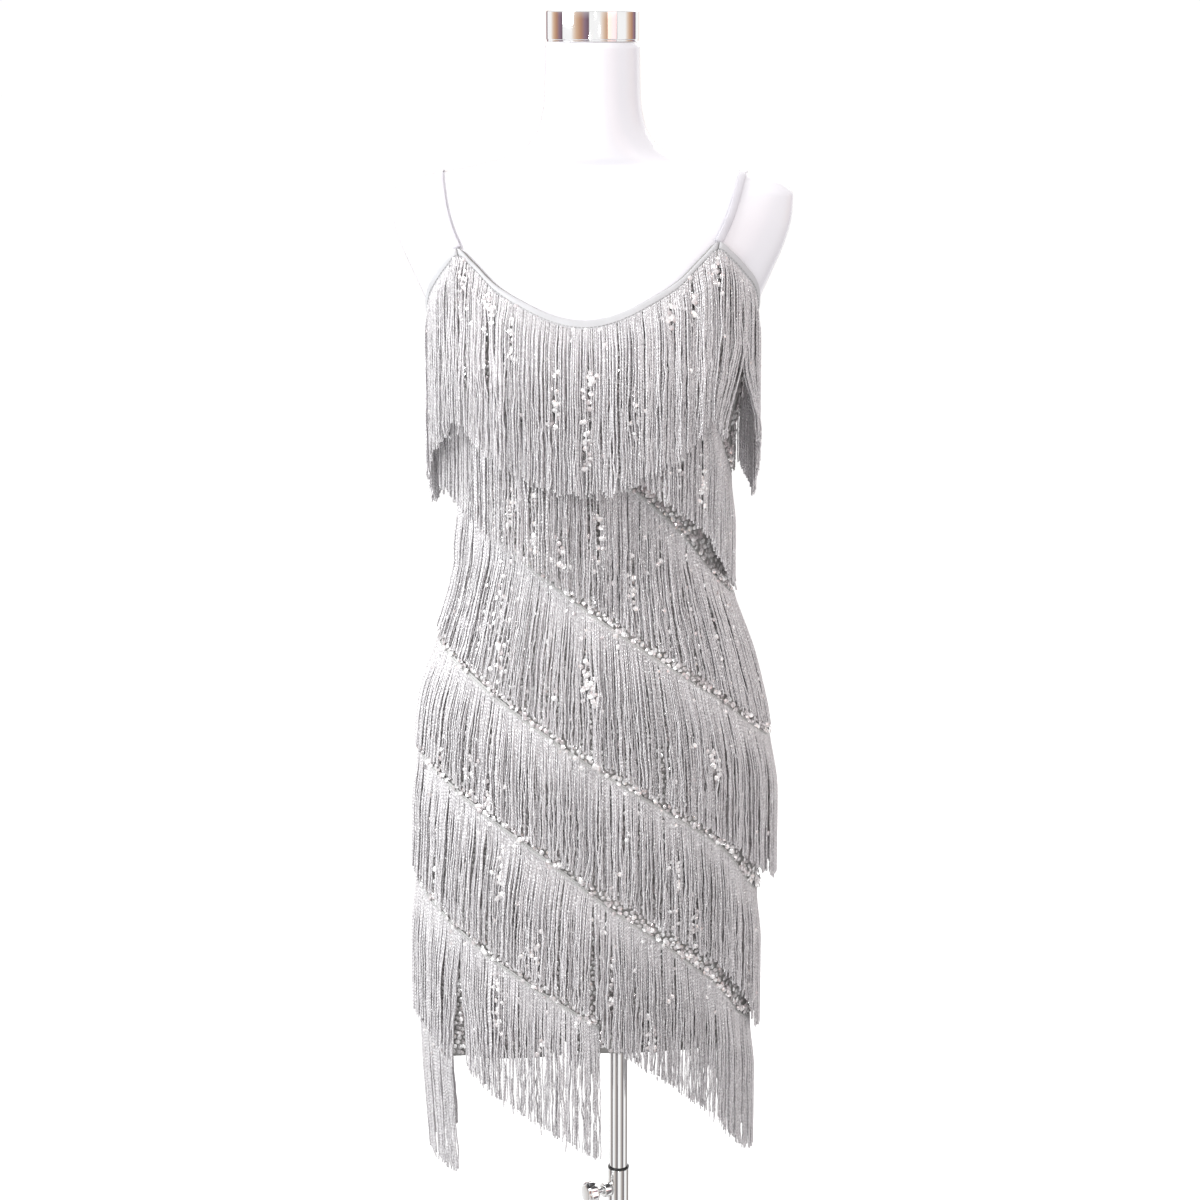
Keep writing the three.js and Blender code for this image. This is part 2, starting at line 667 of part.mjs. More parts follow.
function addStand() {
  place(figure, "form_torso", torso(), formFinish);
  const cap = disc(CAP.radius, NECK_TOP + GAP, CAP.height, CAP.round, 40);
  place(figure, "form_neck_cap", cap, chromeFinish);
  const flangeFoot = FORM_FOOT - GAP - FLANGE.height;
  const flange = disc(FLANGE.radius, flangeFoot, FLANGE.height, FLANGE.round, 32);
  place(part, "form_flange", flange, chromeFinish);
  const upperLength = flangeFoot - GAP - POLE.upperFoot;
  place(part, "pole_upper", disc(POLE.upper, POLE.upperFoot, upperLength, 1, 20), chromeFinish);
  const socketTop = PLATE.height + GAP + SOCKET.height;
  const lower = tube(POLE.bore, POLE.lower, socketTop + GAP, POLE.lowerTop - RING.height - GAP, 24);
  place(part, "pole_lower", lower, chromeFinish);
  const ring = tube(POLE.bore, RING.radius, POLE.lowerTop - RING.height, POLE.lowerTop, 24);
  place(part, "pole_ring", ring, ringFinish);
  const socket = disc(SOCKET.radius, PLATE.height + GAP, SOCKET.height, SOCKET.round, 32);
  place(part, "base_socket", socket, chromeFinish);
  place(part, "base_plate", disc(PLATE.radius, 0, PLATE.height, PLATE.round, 48), chromeFinish);
}

// The clamp knob: a boss on the lower tube, and a head with its stem, pointing out to the side.
function addKnob() {
  const side = new THREE.Group();
  side.position.z = BOSS.z;
  side.rotation.z = radians(KNOB.turn);
  part.add(side);
  const lay = (geometry) => geometry.rotateY(-Math.PI / 2);
  const bossFoot = POLE.lower + GAP;
  const bossEnd = bossFoot + BOSS.out;
  place(side, "knob_boss", lay(tube(KNOB.stem + GAP, BOSS.radius, bossFoot, bossEnd, 24)), chromeFinish);
  const stemEnd = bossEnd + KNOB.stemLength;
  const head = turned([
    [0, bossFoot + GAP], [KNOB.stem, bossFoot + GAP], [KNOB.stem, stemEnd],
    [KNOB.radius - 2, stemEnd], [KNOB.radius, stemEnd + 2],
    [KNOB.radius, stemEnd + KNOB.length - 3], [KNOB.radius - 3, stemEnd + KNOB.length],
    [0, stemEnd + KNOB.length],
  ], 28);
  place(side, "knob", lay(head), chromeFinish);
}

addDress();
addFringe();
addStand();
addKnob();

export default part;
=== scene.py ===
# %% [markdown]
# # A fringed flapper dress on its dress form
#
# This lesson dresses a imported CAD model. The CAD holds the real sizes: a sleeveless dress with
# slanting rows of long fringe, a limbless dress form and a chrome stand. Here each of them gets
# the shape and finish that show from a step away: single strands, sequins, stitches, chrome.
#
# The frame is in metres, +Z up. The dress faces -Y, and +X is the wearer's left.

# %% The frame and its box
import json
import math

import bpy
import numpy as np
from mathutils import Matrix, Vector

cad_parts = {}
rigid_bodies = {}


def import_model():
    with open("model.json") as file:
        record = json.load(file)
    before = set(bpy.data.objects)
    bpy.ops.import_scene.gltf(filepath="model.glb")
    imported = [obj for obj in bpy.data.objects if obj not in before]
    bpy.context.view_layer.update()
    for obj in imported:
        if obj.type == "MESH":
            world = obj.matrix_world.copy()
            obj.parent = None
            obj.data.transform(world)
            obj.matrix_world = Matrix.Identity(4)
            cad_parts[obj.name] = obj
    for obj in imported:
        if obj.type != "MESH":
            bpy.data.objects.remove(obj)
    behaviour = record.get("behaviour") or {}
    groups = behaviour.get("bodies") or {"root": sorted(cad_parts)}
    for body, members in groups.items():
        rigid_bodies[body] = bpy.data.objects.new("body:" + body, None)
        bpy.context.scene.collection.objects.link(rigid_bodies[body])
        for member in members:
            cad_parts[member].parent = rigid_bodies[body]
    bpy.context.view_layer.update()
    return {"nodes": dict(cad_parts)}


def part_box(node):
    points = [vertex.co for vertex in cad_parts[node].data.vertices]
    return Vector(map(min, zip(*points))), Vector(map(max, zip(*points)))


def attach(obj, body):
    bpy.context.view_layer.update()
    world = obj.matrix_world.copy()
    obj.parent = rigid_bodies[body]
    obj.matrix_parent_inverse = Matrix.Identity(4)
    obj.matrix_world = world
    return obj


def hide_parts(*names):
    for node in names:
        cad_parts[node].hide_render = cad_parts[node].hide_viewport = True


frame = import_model()
MM = 0.001

# %% [markdown]
# ## Camera
#
# The camera comes first, because everything is judged through it. It stands 2.8 m in front of
# the dress form at the height of the neck cap and looks down by 12 degrees, so that the foot of
# the stand is below its view.

# %% The camera
FIGURE_X = -28 * MM  # the dress form's centre plane, seen from the pole
CAMERA_PLACE = (FIGURE_X + 7.5 * MM, -2.8, 1.55)
CAMERA_PITCH = 12  # degrees below level
SENSOR = 36  # millimetres, the default of a new camera
FOCAL = 81  # millimetres

lens = bpy.data.cameras.new("camera")
lens.sensor_fit = "HORIZONTAL"
lens.sensor_width = SENSOR
lens.lens = FOCAL
camera = bpy.data.objects.new("camera", lens)
camera.location = CAMERA_PLACE
camera.rotation_euler = (math.radians(90 - CAMERA_PITCH), 0, 0)
bpy.context.scene.collection.objects.link(camera)
bpy.context.scene.camera = camera
print("camera at", CAMERA_PLACE)

# %% [markdown]
# ## The figure's surface
#
# Cloth, sequins, tapes and strands all follow one body. It is a stack of oval sections: a half
# width, a depth to the front and one to the back. A place on it is a turn (0 at the centre
# front, a quarter turn at the wearer's left seam) and a height. Rows below 0.64 m are the free
# skirt, which hangs under the end of the dress form.

# %% Sections of the figure, in millimetres
NECK_TOP = 1534
FIGURE = np.array([
    # height, half width, front, back, shift along X
    (440, 171, 98, 112, -8),
    (540, 175.5, 101, 115, -9.5),
    (640, 178, 103, 120, -7),
    (720, 184, 105, 126, 2),
    (780, 183, 107, 127, 2),
    (830, 178, 108, 120, 1),
    (880, 168, 107, 108, 0),
    (930, 153, 102, 97, 0),
    (980, 138, 94, 89, 0),
    (1020, 131, 89, 86, 0),
    (1060, 133, 89, 88, 0),
    (1100, 140, 91, 92, 0),
    (1150, 146, 92, 98, 0),
    (1200, 153, 91, 103, 0),
    (1240, 161, 88, 105, 0),
    (1275, 173, 82, 103, 0),
    (1300, 184, 77, 98, 0),
    (1330, 197, 71, 90, 0),
    (1360, 205, 64, 80, 0),
    (1380, 206, 57, 70, 0),
    (1393, 195, 48, 62, 0),
    (1402, 162, 43, 56, 0),
    (1410, 120, 43, 53, 0),
    (1420, 84, 47, 51, 0),
    (1434, 63, 50, 48, 0),
    (1454, 53, 51, 45, 0),
    (1480, 49, 50, 44, 0),
    (NECK_TOP, 48, 49, 44, 0),
]) * MM
HEIGHT, HALF, FRONT, BACK, SHIFT = FIGURE.T
FORM_FOOT = 640 * MM
print(len(FIGURE), "sections from", HEIGHT[0], "to", HEIGHT[-1], "m")


# %% A smooth curve through a table
def read(keys, values, at):
    """Values at some places, smooth and without overshoot between the table's rows."""
    at = np.clip(at, keys[0], keys[-1])
    step = np.diff(keys)
    slope = np.diff(values) / step
    tangent = np.zeros(len(keys))
    tangent[0], tangent[-1] = slope[0], slope[-1]
    same_way = slope[:-1] * slope[1:] > 0
    total = np.where(same_way, slope[:-1] + slope[1:], 1)
    tangent[1:-1] = np.where(same_way, 2 * slope[:-1] * slope[1:] / total, 0)
    i = np.clip(np.searchsorted(keys, at, side="right") - 1, 0, len(keys) - 2)
    t = (at - keys[i]) / step[i]
    rest = 1 - t
    return (
        values[i] * (1 + 2 * t) * rest**2
        + tangent[i] * step[i] * t * rest**2
        + values[i + 1] * (3 - 2 * t) * t**2
        - tangent[i + 1] * step[i] * t**2 * rest
    )


def smoothstep(t):
    t = np.clip(t, 0, 1)
    return t * t * (3 - 2 * t)


print("half width at the waist:", round(float(read(HEIGHT, HALF, 1.02)), 4), "m")

# %% The bust and a point on the figure
BUST_Z, BUST_X, BUST_DEPTH = 1188 * MM, 74 * MM, 33 * MM
BUST_SIDEWAYS, BUST_ABOVE, BUST_BELOW = 52 * MM, 74 * MM, 64 * MM
CLOTH_BRIDGE, FORM_BRIDGE = 0.14, 0.5  # share of a cup's depth lost between the cups
CLOTH_EASE = 3.5 * MM
FOLDS = np.array([
    # turn and width in degrees, depth at the hem in millimetres
    (-46, 6, 8), (27, 9, 4), (70, 8, 5), (128, 9, 6), (176, 10, 4), (-138, 9, 6),
])
FOLD_HEIGHT = 170 * MM  # from the form's foot down to where the folds are deepest


def between(start, end):
    """Signed way from one turn to another, the short way round."""
    return np.arctan2(np.sin(end - start), np.cos(end - start))


def fold(turn, z):
    """How far the free skirt is drawn in by its folds."""
    total = 0
    for middle, wide, depth in FOLDS:
        away = between(math.radians(middle), turn) / math.radians(wide)
        total = total + depth * MM * np.exp(-(away**2))
    return total * smoothstep((FORM_FOOT - z) / FOLD_HEIGHT)


def cup(x, z, bridge):
    spread = np.where(z > BUST_Z, BUST_ABOVE, BUST_BELOW)
    high = np.exp(-(((z - BUST_Z) / spread) ** 2))
    aside = np.abs(x) - BUST_X
    outer = np.exp(-((np.maximum(aside, 0) / BUST_SIDEWAYS) ** 2))
    inner = 1 - bridge * (1 - np.minimum(np.abs(x) / BUST_X, 1) ** 2) ** 2
    return BUST_DEPTH * high * np.where(aside > 0, outer, inner)


def on_figure(turn, z, out=0.0, bridge=FORM_BRIDGE):
    """Points of the form, moved out by some distance."""
    turn, z, out = np.broadcast_arrays(turn, z, out)
    half = read(HEIGHT, HALF, z)
    forward = np.cos(turn)
    x = read(HEIGHT, SHIFT, z) + (half + out) * np.sin(turn)
    depth = np.where(forward < 0, read(HEIGHT, BACK, z), read(HEIGHT, FRONT, z))
    bust = np.where(forward < 0, 0, cup(half * np.sin(turn), z, bridge))
    y = -(depth + out) * forward - bust
    return np.stack([FIGURE_X + x, y, z], axis=-1)


def on_cloth(turn, z, out=0.0):
    """Points of the dress's outer face, moved out by some distance."""
    turn, z = np.asarray(turn), np.asarray(z)
    return on_figure(turn, z, CLOTH_EASE + out - fold(turn, z), CLOTH_BRIDGE)


print("front of the bust: y =", round(float(on_cloth(0.5, BUST_Z)[1]), 4))

# %% [markdown]
# ## Edges of the cloth
#
# The neckline, the armholes and the hem are curves over the figure. Each is a short table from
# the centre to the side seam, read with the same smooth curve.

# %% Top edge and hem
FRONT_EDGE = np.array([
    (0, 1261), (0.07, 1262), (0.19, 1267), (0.38, 1283), (0.5, 1298), (0.59, 1320),
    (0.65, 1333), (0.73, 1322), (0.82, 1307), (0.91, 1290), (0.97, 1269), (1, 1241),
]) * (1, MM)
BACK_EDGE = np.array([
    (0, 1214), (0.2, 1219), (0.4, 1240), (0.5, 1262), (0.58, 1288), (0.72, 1276),
    (0.88, 1260), (1, 1241),
]) * (1, MM)
HEM = np.array([
    (-1, 453), (-0.78, 467), (-0.3, 479), (0, 486), (0.7, 481), (1, 483),
]) * (1, MM)
FRONT_STRAP_SIDE, BACK_STRAP_SIDE = 0.65, 0.58
DRESS_TURN = math.radians(-2)  # how far the dress sits turned on the form
DRESS_TILT = 5 * MM  # how much its left side is pulled up, and its right side down
ARCH_SIDE, ARCH_LIFT, ARCH_SPREAD = -0.12, 15 * MM, 0.06


def top_edge(turn):
    own = turn - DRESS_TURN
    side = np.abs(np.sin(own))
    front, back = read(*FRONT_EDGE.T, side), read(*BACK_EDGE.T, side)
    return np.where(np.cos(own) >= 0, front, back) + DRESS_TILT * np.sin(own)


def strap_turns(sign):
    """Turns at which a strap meets the front edge and the back edge."""
    front, back = math.asin(FRONT_STRAP_SIDE), math.pi - math.asin(BACK_STRAP_SIDE)
    return sign * front + DRESS_TURN, sign * back + DRESS_TURN


def hem(turn):
    side = np.sin(turn)
    arch = ARCH_LIFT * np.exp(-(((side - ARCH_SIDE) / ARCH_SPREAD) ** 2))
    return read(*HEM.T, side) + np.where(np.cos(turn) >= 0, arch, 0)


def spaced(line, start, end, pitch):
    """Turns at equal spacings of about one pitch along a line on the cloth."""
    turns = np.linspace(start, end, 2001)
    places = on_cloth(turns, line(turns))
    run = np.concatenate([[0], np.cumsum(np.linalg.norm(np.diff(places, axis=0), axis=1))])
    count = max(2, round(run[-1] / pitch))
    return np.interp(np.linspace(0, run[-1], count + 1), run, turns)


print("top edge:", len(spaced(top_edge, -math.pi, math.pi, 10 * MM)) - 1, "cm round")

# %% [markdown]
# ## Meshes from arrays
#
# Most pieces here are grids of points worked out with numpy. One helper turns points and faces
# into an object whose origin stays at the world's origin, as the CAD's own objects do. Others
# list the faces: of a grid, of a thin wall with its rims, and of a round grid's two ends.


# %% Helpers for meshes
def add_object(name, mesh):
    made = bpy.data.objects.new(name, mesh)
    bpy.context.scene.collection.objects.link(made)
    return made


def make_object(name, points, faces, material, smooth=(4,)):
    """An object of one material, smooth where a face has one of these numbers of sides."""
    if isinstance(faces, np.ndarray):
        faces = faces.tolist()
    mesh = bpy.data.meshes.new(name)
    mesh.from_pydata(np.asarray(points).reshape(-1, 3).tolist(), [], faces)
    mesh.polygons.foreach_set("use_smooth", [len(face) in smooth for face in faces])
    mesh.materials.append(material)
    mesh.update()
    return add_object(name, mesh)


def grid_faces(columns, rows, round_it=False):
    """Quads of a grid of points, column after column."""
    i = np.arange(columns if round_it else columns - 1)[:, None]
    j = np.arange(rows - 1)[None, :]
    after = (i + 1) % columns
    quads = np.stack([i * rows + j, after * rows + j, after * rows + j + 1, i * rows + j + 1], -1)
    return quads.reshape(-1, 4)


def wall_faces(columns, rows, round_it=False):
    """Quads of a closed wall: the outer grid's points come first, then the inner grid's."""
    outer = grid_faces(columns, rows, round_it)
    other = columns * rows
    faces = [outer, outer[:, ::-1] + other]
    i = np.arange(columns if round_it else columns - 1)
    after = (i + 1) % columns
    low, low_next = i * rows, after * rows
    high, high_next = low + rows - 1, low_next + rows - 1
    faces.append(np.stack([low, low + other, low_next + other, low_next], -1))
    faces.append(np.stack([high, high_next, high_next + other, high + other], -1))
    if not round_it:
        j = np.arange(rows - 1)
        last = (columns - 1) * rows + j
        faces.append(np.stack([j, j + 1, j + 1 + other, j + other], -1))
        faces.append(np.stack([last, last + other, last + 1 + other, last + 1], -1))
    return np.concatenate(faces)


def cap_faces(columns, rows):
    """Triangles from a round grid's two ends to two middle points, which follow its own."""
    low, high = columns * rows, columns * rows + 1
    faces = []
    for i in range(columns):
        after = (i + 1) % columns
        faces.append([low, after * rows, i * rows])
        faces.append([high, i * rows + rows - 1, after * rows + rows - 1])
    return faces


def points_of(made):
    points = np.empty(len(made.data.vertices) * 3)
    made.data.vertices.foreach_get("co", points)
    return points.reshape(-1, 3)


def set_points(made, points):
    """Moves a piece inside its own mesh, so that its object stays at the origin."""
    made.data.vertices.foreach_set("co", points.ravel())
    made.data.update()


def add_uv(made, uv_of_point):
    """A UV map from one pair of numbers for each point."""
    layer = made.data.uv_layers.new(name="UVMap")
    corners = np.empty(len(made.data.loops), dtype=np.int32)
    made.data.loops.foreach_get("vertex_index", corners)
    layer.data.foreach_set("uv", np.asarray(uv_of_point)[corners].ravel())


def triangles(made):
    return sum(len(p.vertices) - 2 for p in made.data.polygons)


print("a wall of 3 by 3 points has", len(wall_faces(3, 3)), "faces")

# %% [markdown]
# ## Shader groups
#
# Some effects appear in several finishes, so each is a node group, built once. Tone varies a
# colour from piece to piece and from place to place. Weave is the fine grid of threads of
# ribbon and cloth. Wear is the faint unevenness of polished metal and plastic.


# %% Helpers for node trees
def add_node(tree, kind, inputs=None, **settings):
    """A new node with its settings, and its inputs linked or set."""
    node = tree.nodes.new(kind)
    for name, value in settings.items():
        setattr(node, name, value)
    for name, value in (inputs or {}).items():
        socket = node.inputs[name]
        if isinstance(value, bpy.types.NodeSocket):
            tree.links.new(value, socket)
        else:
            socket.default_value = value
    return node


def maths(tree, operation, *values, **settings):
    """What a Math node gives for one to three numbers or sockets."""
    inputs = dict(enumerate(values))
    return add_node(tree, "ShaderNodeMath", inputs, operation=operation, **settings).outputs[0]


def vector_maths(tree, operation, *values):
    inputs = dict(enumerate(values))
    return add_node(tree, "ShaderNodeVectorMath", inputs, operation=operation).outputs[0]


def mixed(tree, factor, first, second):
    """A colour between two others: the first where the factor is 0."""
    inputs = {"Factor": factor, "A": first, "B": second}
    return add_node(tree, "ShaderNodeMix", inputs, data_type="RGBA").outputs["Result"]


def object_noise(tree, scale, detail):
    place = add_node(tree, "ShaderNodeTexCoord").outputs["Object"]
    noise = add_node(tree, "ShaderNodeTexNoise", {"Vector": place, "Scale": scale, "Detail": detail})
    return noise.outputs["Fac"]


def uv_axes(tree):
    uv = add_node(tree, "ShaderNodeUVMap", uv_map="UVMap")
    return add_node(tree, "ShaderNodeSeparateXYZ", {0: uv.outputs[0]}).outputs


def new_group(name, kind, takes, gives):
    """A node group, its input node's outputs and its output node."""
    tree = bpy.data.node_groups.new(name, kind)
    for label, socket_type, default in takes:
        socket = tree.interface.new_socket(label, in_out="INPUT", socket_type=socket_type)
        if default is not None:
            socket.default_value = default
    for label, socket_type in gives:
        tree.interface.new_socket(label, in_out="OUTPUT", socket_type=socket_type)
    ins = tree.nodes.new("NodeGroupInput").outputs
    outs = tree.nodes.new("NodeGroupOutput")
    return tree, ins, outs


COLOR, FLOAT, VECTOR = "NodeSocketColor", "NodeSocketFloat", "NodeSocketVector"
print("node helpers ready")


# %% Tone: a colour that varies
def build_tone_group():
    tree, ins, outs = new_group(
        "tone", "ShaderNodeTree",
        [("Light", COLOR, (1, 1, 1, 1)), ("Dark", COLOR, (0, 0, 0, 1)), ("Vary", FLOAT, 0.5),
         ("Scale", FLOAT, 40.0)],
        [("Color", COLOR)],
    )
    CONTRAST = 1.2
    spread = maths(tree, "SUBTRACT", object_noise(tree, ins["Scale"], 3.0), 0.5)
    wide = maths(tree, "MULTIPLY", spread, CONTRAST)
    share = maths(tree, "ADD", ins["Vary"], wide, use_clamp=True)
    tree.links.new(mixed(tree, share, ins["Dark"], ins["Light"]), outs.inputs["Color"])
    return tree


TONE = build_tone_group()
print("group:", TONE.name)


# %% Weave: fine crossing threads as a height
def build_weave_group():
    tree, ins, outs = new_group(
        "weave", "ShaderNodeTree",
        [("Threads", FLOAT, 1500.0), ("Across", FLOAT, 1.0)],
        [("Height", FLOAT)],
    )
    axes = uv_axes(tree)
    waves = []
    for axis in ("X", "Y"):
        turns = maths(tree, "MULTIPLY", axes[axis], ins["Threads"])
        waves.append(maths(tree, "ABSOLUTE", maths(tree, "SINE", turns)))
    crossed = maths(tree, "MULTIPLY", waves[1], ins["Across"])
    tree.links.new(maths(tree, "ADD", waves[0], crossed), outs.inputs["Height"])
    return tree


WEAVE = build_weave_group()
print("group:", WEAVE.name)


# %% Wear: faint unevenness of a polished surface
def build_wear_group():
    tree, ins, outs = new_group(
        "wear", "ShaderNodeTree",
        [("Roughness", FLOAT, 0.1), ("Amount", FLOAT, 0.05), ("Scale", FLOAT, 30.0)],
        [("Roughness", FLOAT), ("Height", FLOAT)],
    )
    noise = object_noise(tree, ins["Scale"], 6.0)
    more = maths(tree, "MULTIPLY", noise, ins["Amount"])
    tree.links.new(maths(tree, "ADD", more, ins["Roughness"]), outs.inputs["Roughness"])
    tree.links.new(noise, outs.inputs["Height"])
    return tree


WEAR = build_wear_group()
print("group:", WEAR.name)

# %% [markdown]
# ## Finishes
#
# Each finish is a Principled BSDF in its own material, fed by the groups above. The chainette
# strands are a soft twist of viscose with a fine metallic yarn. Painted shade runs round each
# strand as a helix in the grooves of the twist, which the strand's own UV map gives, and painted
# glints whiten small flecks. The sequins are thin silvered discs.


# %% Helpers for materials
def new_material(name, **constants):
    made = bpy.data.materials.new(name)
    made.use_nodes = True
    tree = made.node_tree
    shader = tree.nodes["Principled BSDF"]
    for label, value in constants.items():
        shader.inputs[label.replace("_", " ")].default_value = value
    return made, tree, shader


def use_group(tree, group, inputs):
    return add_node(tree, "ShaderNodeGroup", inputs, node_tree=group)


def toned(tree, light, dark, vary, scale):
    inputs = {"Light": light, "Dark": dark, "Vary": vary, "Scale": scale}
    return use_group(tree, TONE, inputs).outputs["Color"]


def bump(tree, shader, height, distance, strength=0.6):
    node = add_node(tree, "ShaderNodeBump", {
        "Height": height, "Distance": distance, "Strength": strength,
    })
    tree.links.new(node.outputs["Normal"], shader.inputs["Normal"])


def attribute(tree, name):
    return add_node(tree, "ShaderNodeAttribute", attribute_name=name).outputs["Fac"]


def grey(level, warm=0.0):
    """A grey with a little red or blue in it."""
    return (level * (1 + warm), level, level * (1 - warm), 1)


print("material helpers ready")


# %% Chainette strands
def build_strand_material():
    made, tree, shader = new_material("chainette", Metallic=0.25)
    TWISTS = 270.0  # plies that pass in one metre
    OWN_PHASE = 17.0  # sets the plies of strands side by side apart
    PLY_SHADE = 0.16
    axes = uv_axes(tree)
    helix = maths(tree, "ADD", maths(tree, "MULTIPLY", axes["Y"], TWISTS), axes["X"])
    own = maths(tree, "MULTIPLY_ADD", attribute(tree, "tint"), OWN_PHASE, helix)
    ply = maths(tree, "SINE", maths(tree, "MULTIPLY", own, math.tau))
    # Painted shade: the colour follows the ply's bump and is darker in the grooves of the twist.
    level = maths(tree, "MULTIPLY_ADD", ply, PLY_SHADE, attribute(tree, "tint"))
    tone = toned(tree, (0.86, 0.838, 0.856, 1), (0.45, 0.43, 0.442, 1), level, 300.0)
    # Flecks of the metallic yarn: their lower roughness is the yarn's own, and their white colour is a
    # painted glint.
    glint_flecks = add_node(tree, "ShaderNodeMapRange", {
        "Value": object_noise(tree, 520.0, 2.0), "From Min": 0.58, "From Max": 0.66,
    })
    painted_glints = mixed(tree, glint_flecks.outputs[0], tone, grey(1.0))
    tree.links.new(painted_glints, shader.inputs["Base Color"])
    gloss = add_node(tree, "ShaderNodeMapRange", {
        "Value": glint_flecks.outputs[0], "To Min": 0.5, "To Max": 0.2,
    })
    tree.links.new(gloss.outputs[0], shader.inputs["Roughness"])
    bump(tree, shader, ply, 0.3 * MM, 0.8)
    return made


STRAND = build_strand_material()
print("material:", STRAND.name)


# %% Sequins
def build_sequin_material():
    made, tree, shader = new_material("sequin", Metallic=0.4)
    tone = toned(tree, grey(1.0), (0.6, 0.55, 0.56, 1), attribute(tree, "tint"), 25.0)
    tree.links.new(tone, shader.inputs["Base Color"])
    wear = use_group(tree, WEAR, {"Roughness": 0.08, "Amount": 0.22, "Scale": 90.0})
    tree.links.new(wear.outputs["Roughness"], shader.inputs["Roughness"])
    return made


SEQUIN = build_sequin_material()
print("material:", SEQUIN.name)


# %% Stretch cloth under the sequins
def build_cloth_material():
    made, tree, shader = new_material("stretch_cloth", Roughness=0.8, Sheen_Weight=0.3)
    tone = toned(tree, grey(0.36, 0.03), grey(0.22, 0.04), 0.5, 30.0)
    tree.links.new(tone, shader.inputs["Base Color"])
    weave = use_group(tree, WEAVE, {"Threads": 2600.0, "Across": 0.5})
    bump(tree, shader, weave.outputs["Height"], 0.2 * MM)
    return made


CLOTH = build_cloth_material()
print("material:", CLOTH.name)


# %% Satin binding, fringe tape and thread
def build_satin_material(name, light, dark, roughness, threads, across):
    made, tree, shader = new_material(name, Roughness=roughness, Sheen_Weight=0.25)
    tree.links.new(toned(tree, light, dark, 0.5, 55.0), shader.inputs["Base Color"])
    weave = use_group(tree, WEAVE, {"Threads": threads, "Across": across})
    bump(tree, shader, weave.outputs["Height"], 0.12 * MM, 0.5)
    return made


PALE_GREY, GREY = (0.56, 0.555, 0.57, 1), (0.46, 0.455, 0.47, 1)
# The straps are the binding's own satin. Their copy is lighter and more lilac as painted light, where the
# straps catch the light on the shoulders.
PALE_LILAC, LILAC = (0.64, 0.62, 0.66, 1), (0.53, 0.51, 0.55, 1)
SATIN_WEAVE = {"roughness": 0.4, "threads": 3200.0, "across": 0.25}
SATIN = build_satin_material("satin_binding", PALE_GREY, GREY, **SATIN_WEAVE)
LIT_STRAP = build_satin_material("satin_strap_lit", PALE_LILAC, LILAC, **SATIN_WEAVE)
TAPE = build_satin_material(
    "fringe_tape", grey(0.56, 0.01), grey(0.44, 0.015), roughness=0.6, threads=2600.0, across=0.9,
)
THREAD = build_satin_material(
    "thread", grey(0.34, 0.01), grey(0.24, 0.01), roughness=0.5, threads=6000.0, across=0.2,
)
print("materials:", SATIN.name, LIT_STRAP.name, TAPE.name, THREAD.name)


# %% White plastic, chrome and black plastic
def build_hard_material(name, light, dark, metallic, roughness, amount, coat):
    made, tree, shader = new_material(name, Metallic=metallic, Coat_Weight=coat, Coat_Roughness=0.06)
    tree.links.new(toned(tree, light, dark, 0.6, 9.0), shader.inputs["Base Color"])
    wear = use_group(tree, WEAR, {"Roughness": roughness, "Amount": amount, "Scale": 35.0})
    tree.links.new(wear.outputs["Roughness"], shader.inputs["Roughness"])
    bump(tree, shader, wear.outputs["Height"], 0.02 * MM, 0.15)
    return made


WHITE, SHADED_WHITE = (0.82, 0.805, 0.845, 1), (0.79, 0.775, 0.815, 1)
PLASTIC = build_hard_material(
    "white_plastic", WHITE, SHADED_WHITE, metallic=0, roughness=0.25, amount=0.1, coat=0.4,
)
CHROME = build_hard_material(
    "chrome_plate", grey(0.86), grey(0.78), metallic=1, roughness=0.035, amount=0.05, coat=0,
)
RUBBER = build_hard_material(
    "black_plastic", grey(0.03), grey(0.015), metallic=0, roughness=0.5, amount=0.1, coat=0,
)
print("materials:", PLASTIC.name, CHROME.name, RUBBER.name)

# %% [markdown]
# ## The dress form
#
# The form is one smooth shell, so it is the figure's own surface at a fine pitch, closed by a
# flat foot and a flat neck. Oval rings a few millimetres apart leave no facets in its gloss.


# %% The dress form's body
FORM_SIDES = 112
SHOULDER, THROAT = 1.36, 1.43  # metres; rings stand closest between these heights


def build_form():
    heights = np.concatenate([
        np.linspace(FORM_FOOT, SHOULDER, 110), np.linspace(SHOULDER, THROAT, 42)[1:],
        np.linspace(THROAT, NECK_TOP * MM, 16)[1:],
    ])
    turns = np.linspace(0, math.tau, FORM_SIDES, endpoint=False)
    rings = on_figure(turns[:, None], heights[None, :])
    foot = [FIGURE_X + float(read(HEIGHT, SHIFT, FORM_FOOT)), 0, FORM_FOOT]
    points = np.concatenate([rings.reshape(-1, 3), [foot, [FIGURE_X, 0, NECK_TOP * MM]]])
    rows = len(heights)
    faces = grid_faces(FORM_SIDES, rows, round_it=True).tolist() + cap_faces(FORM_SIDES, rows)
    return make_object("form_body", points, faces, PLASTIC)


form_body = build_form()
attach(form_body, "form")
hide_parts("form_torso")
print("form_body:", triangles(form_body), "triangles")

# %% [markdown]
# ## The chrome stand
#
# Every piece of the stand is turned on a lathe, so it is a profile of radius and height swept
# round an axis. Small roundings at the rims catch the light the way plated steel does. The CAD
# says where each piece stands, so heights come from the frame's boxes.


# %% A lathe
ROUND_STEPS = 5  # points in each rounded corner
CRISP = math.radians(40)  # edges steeper than this stay sharp


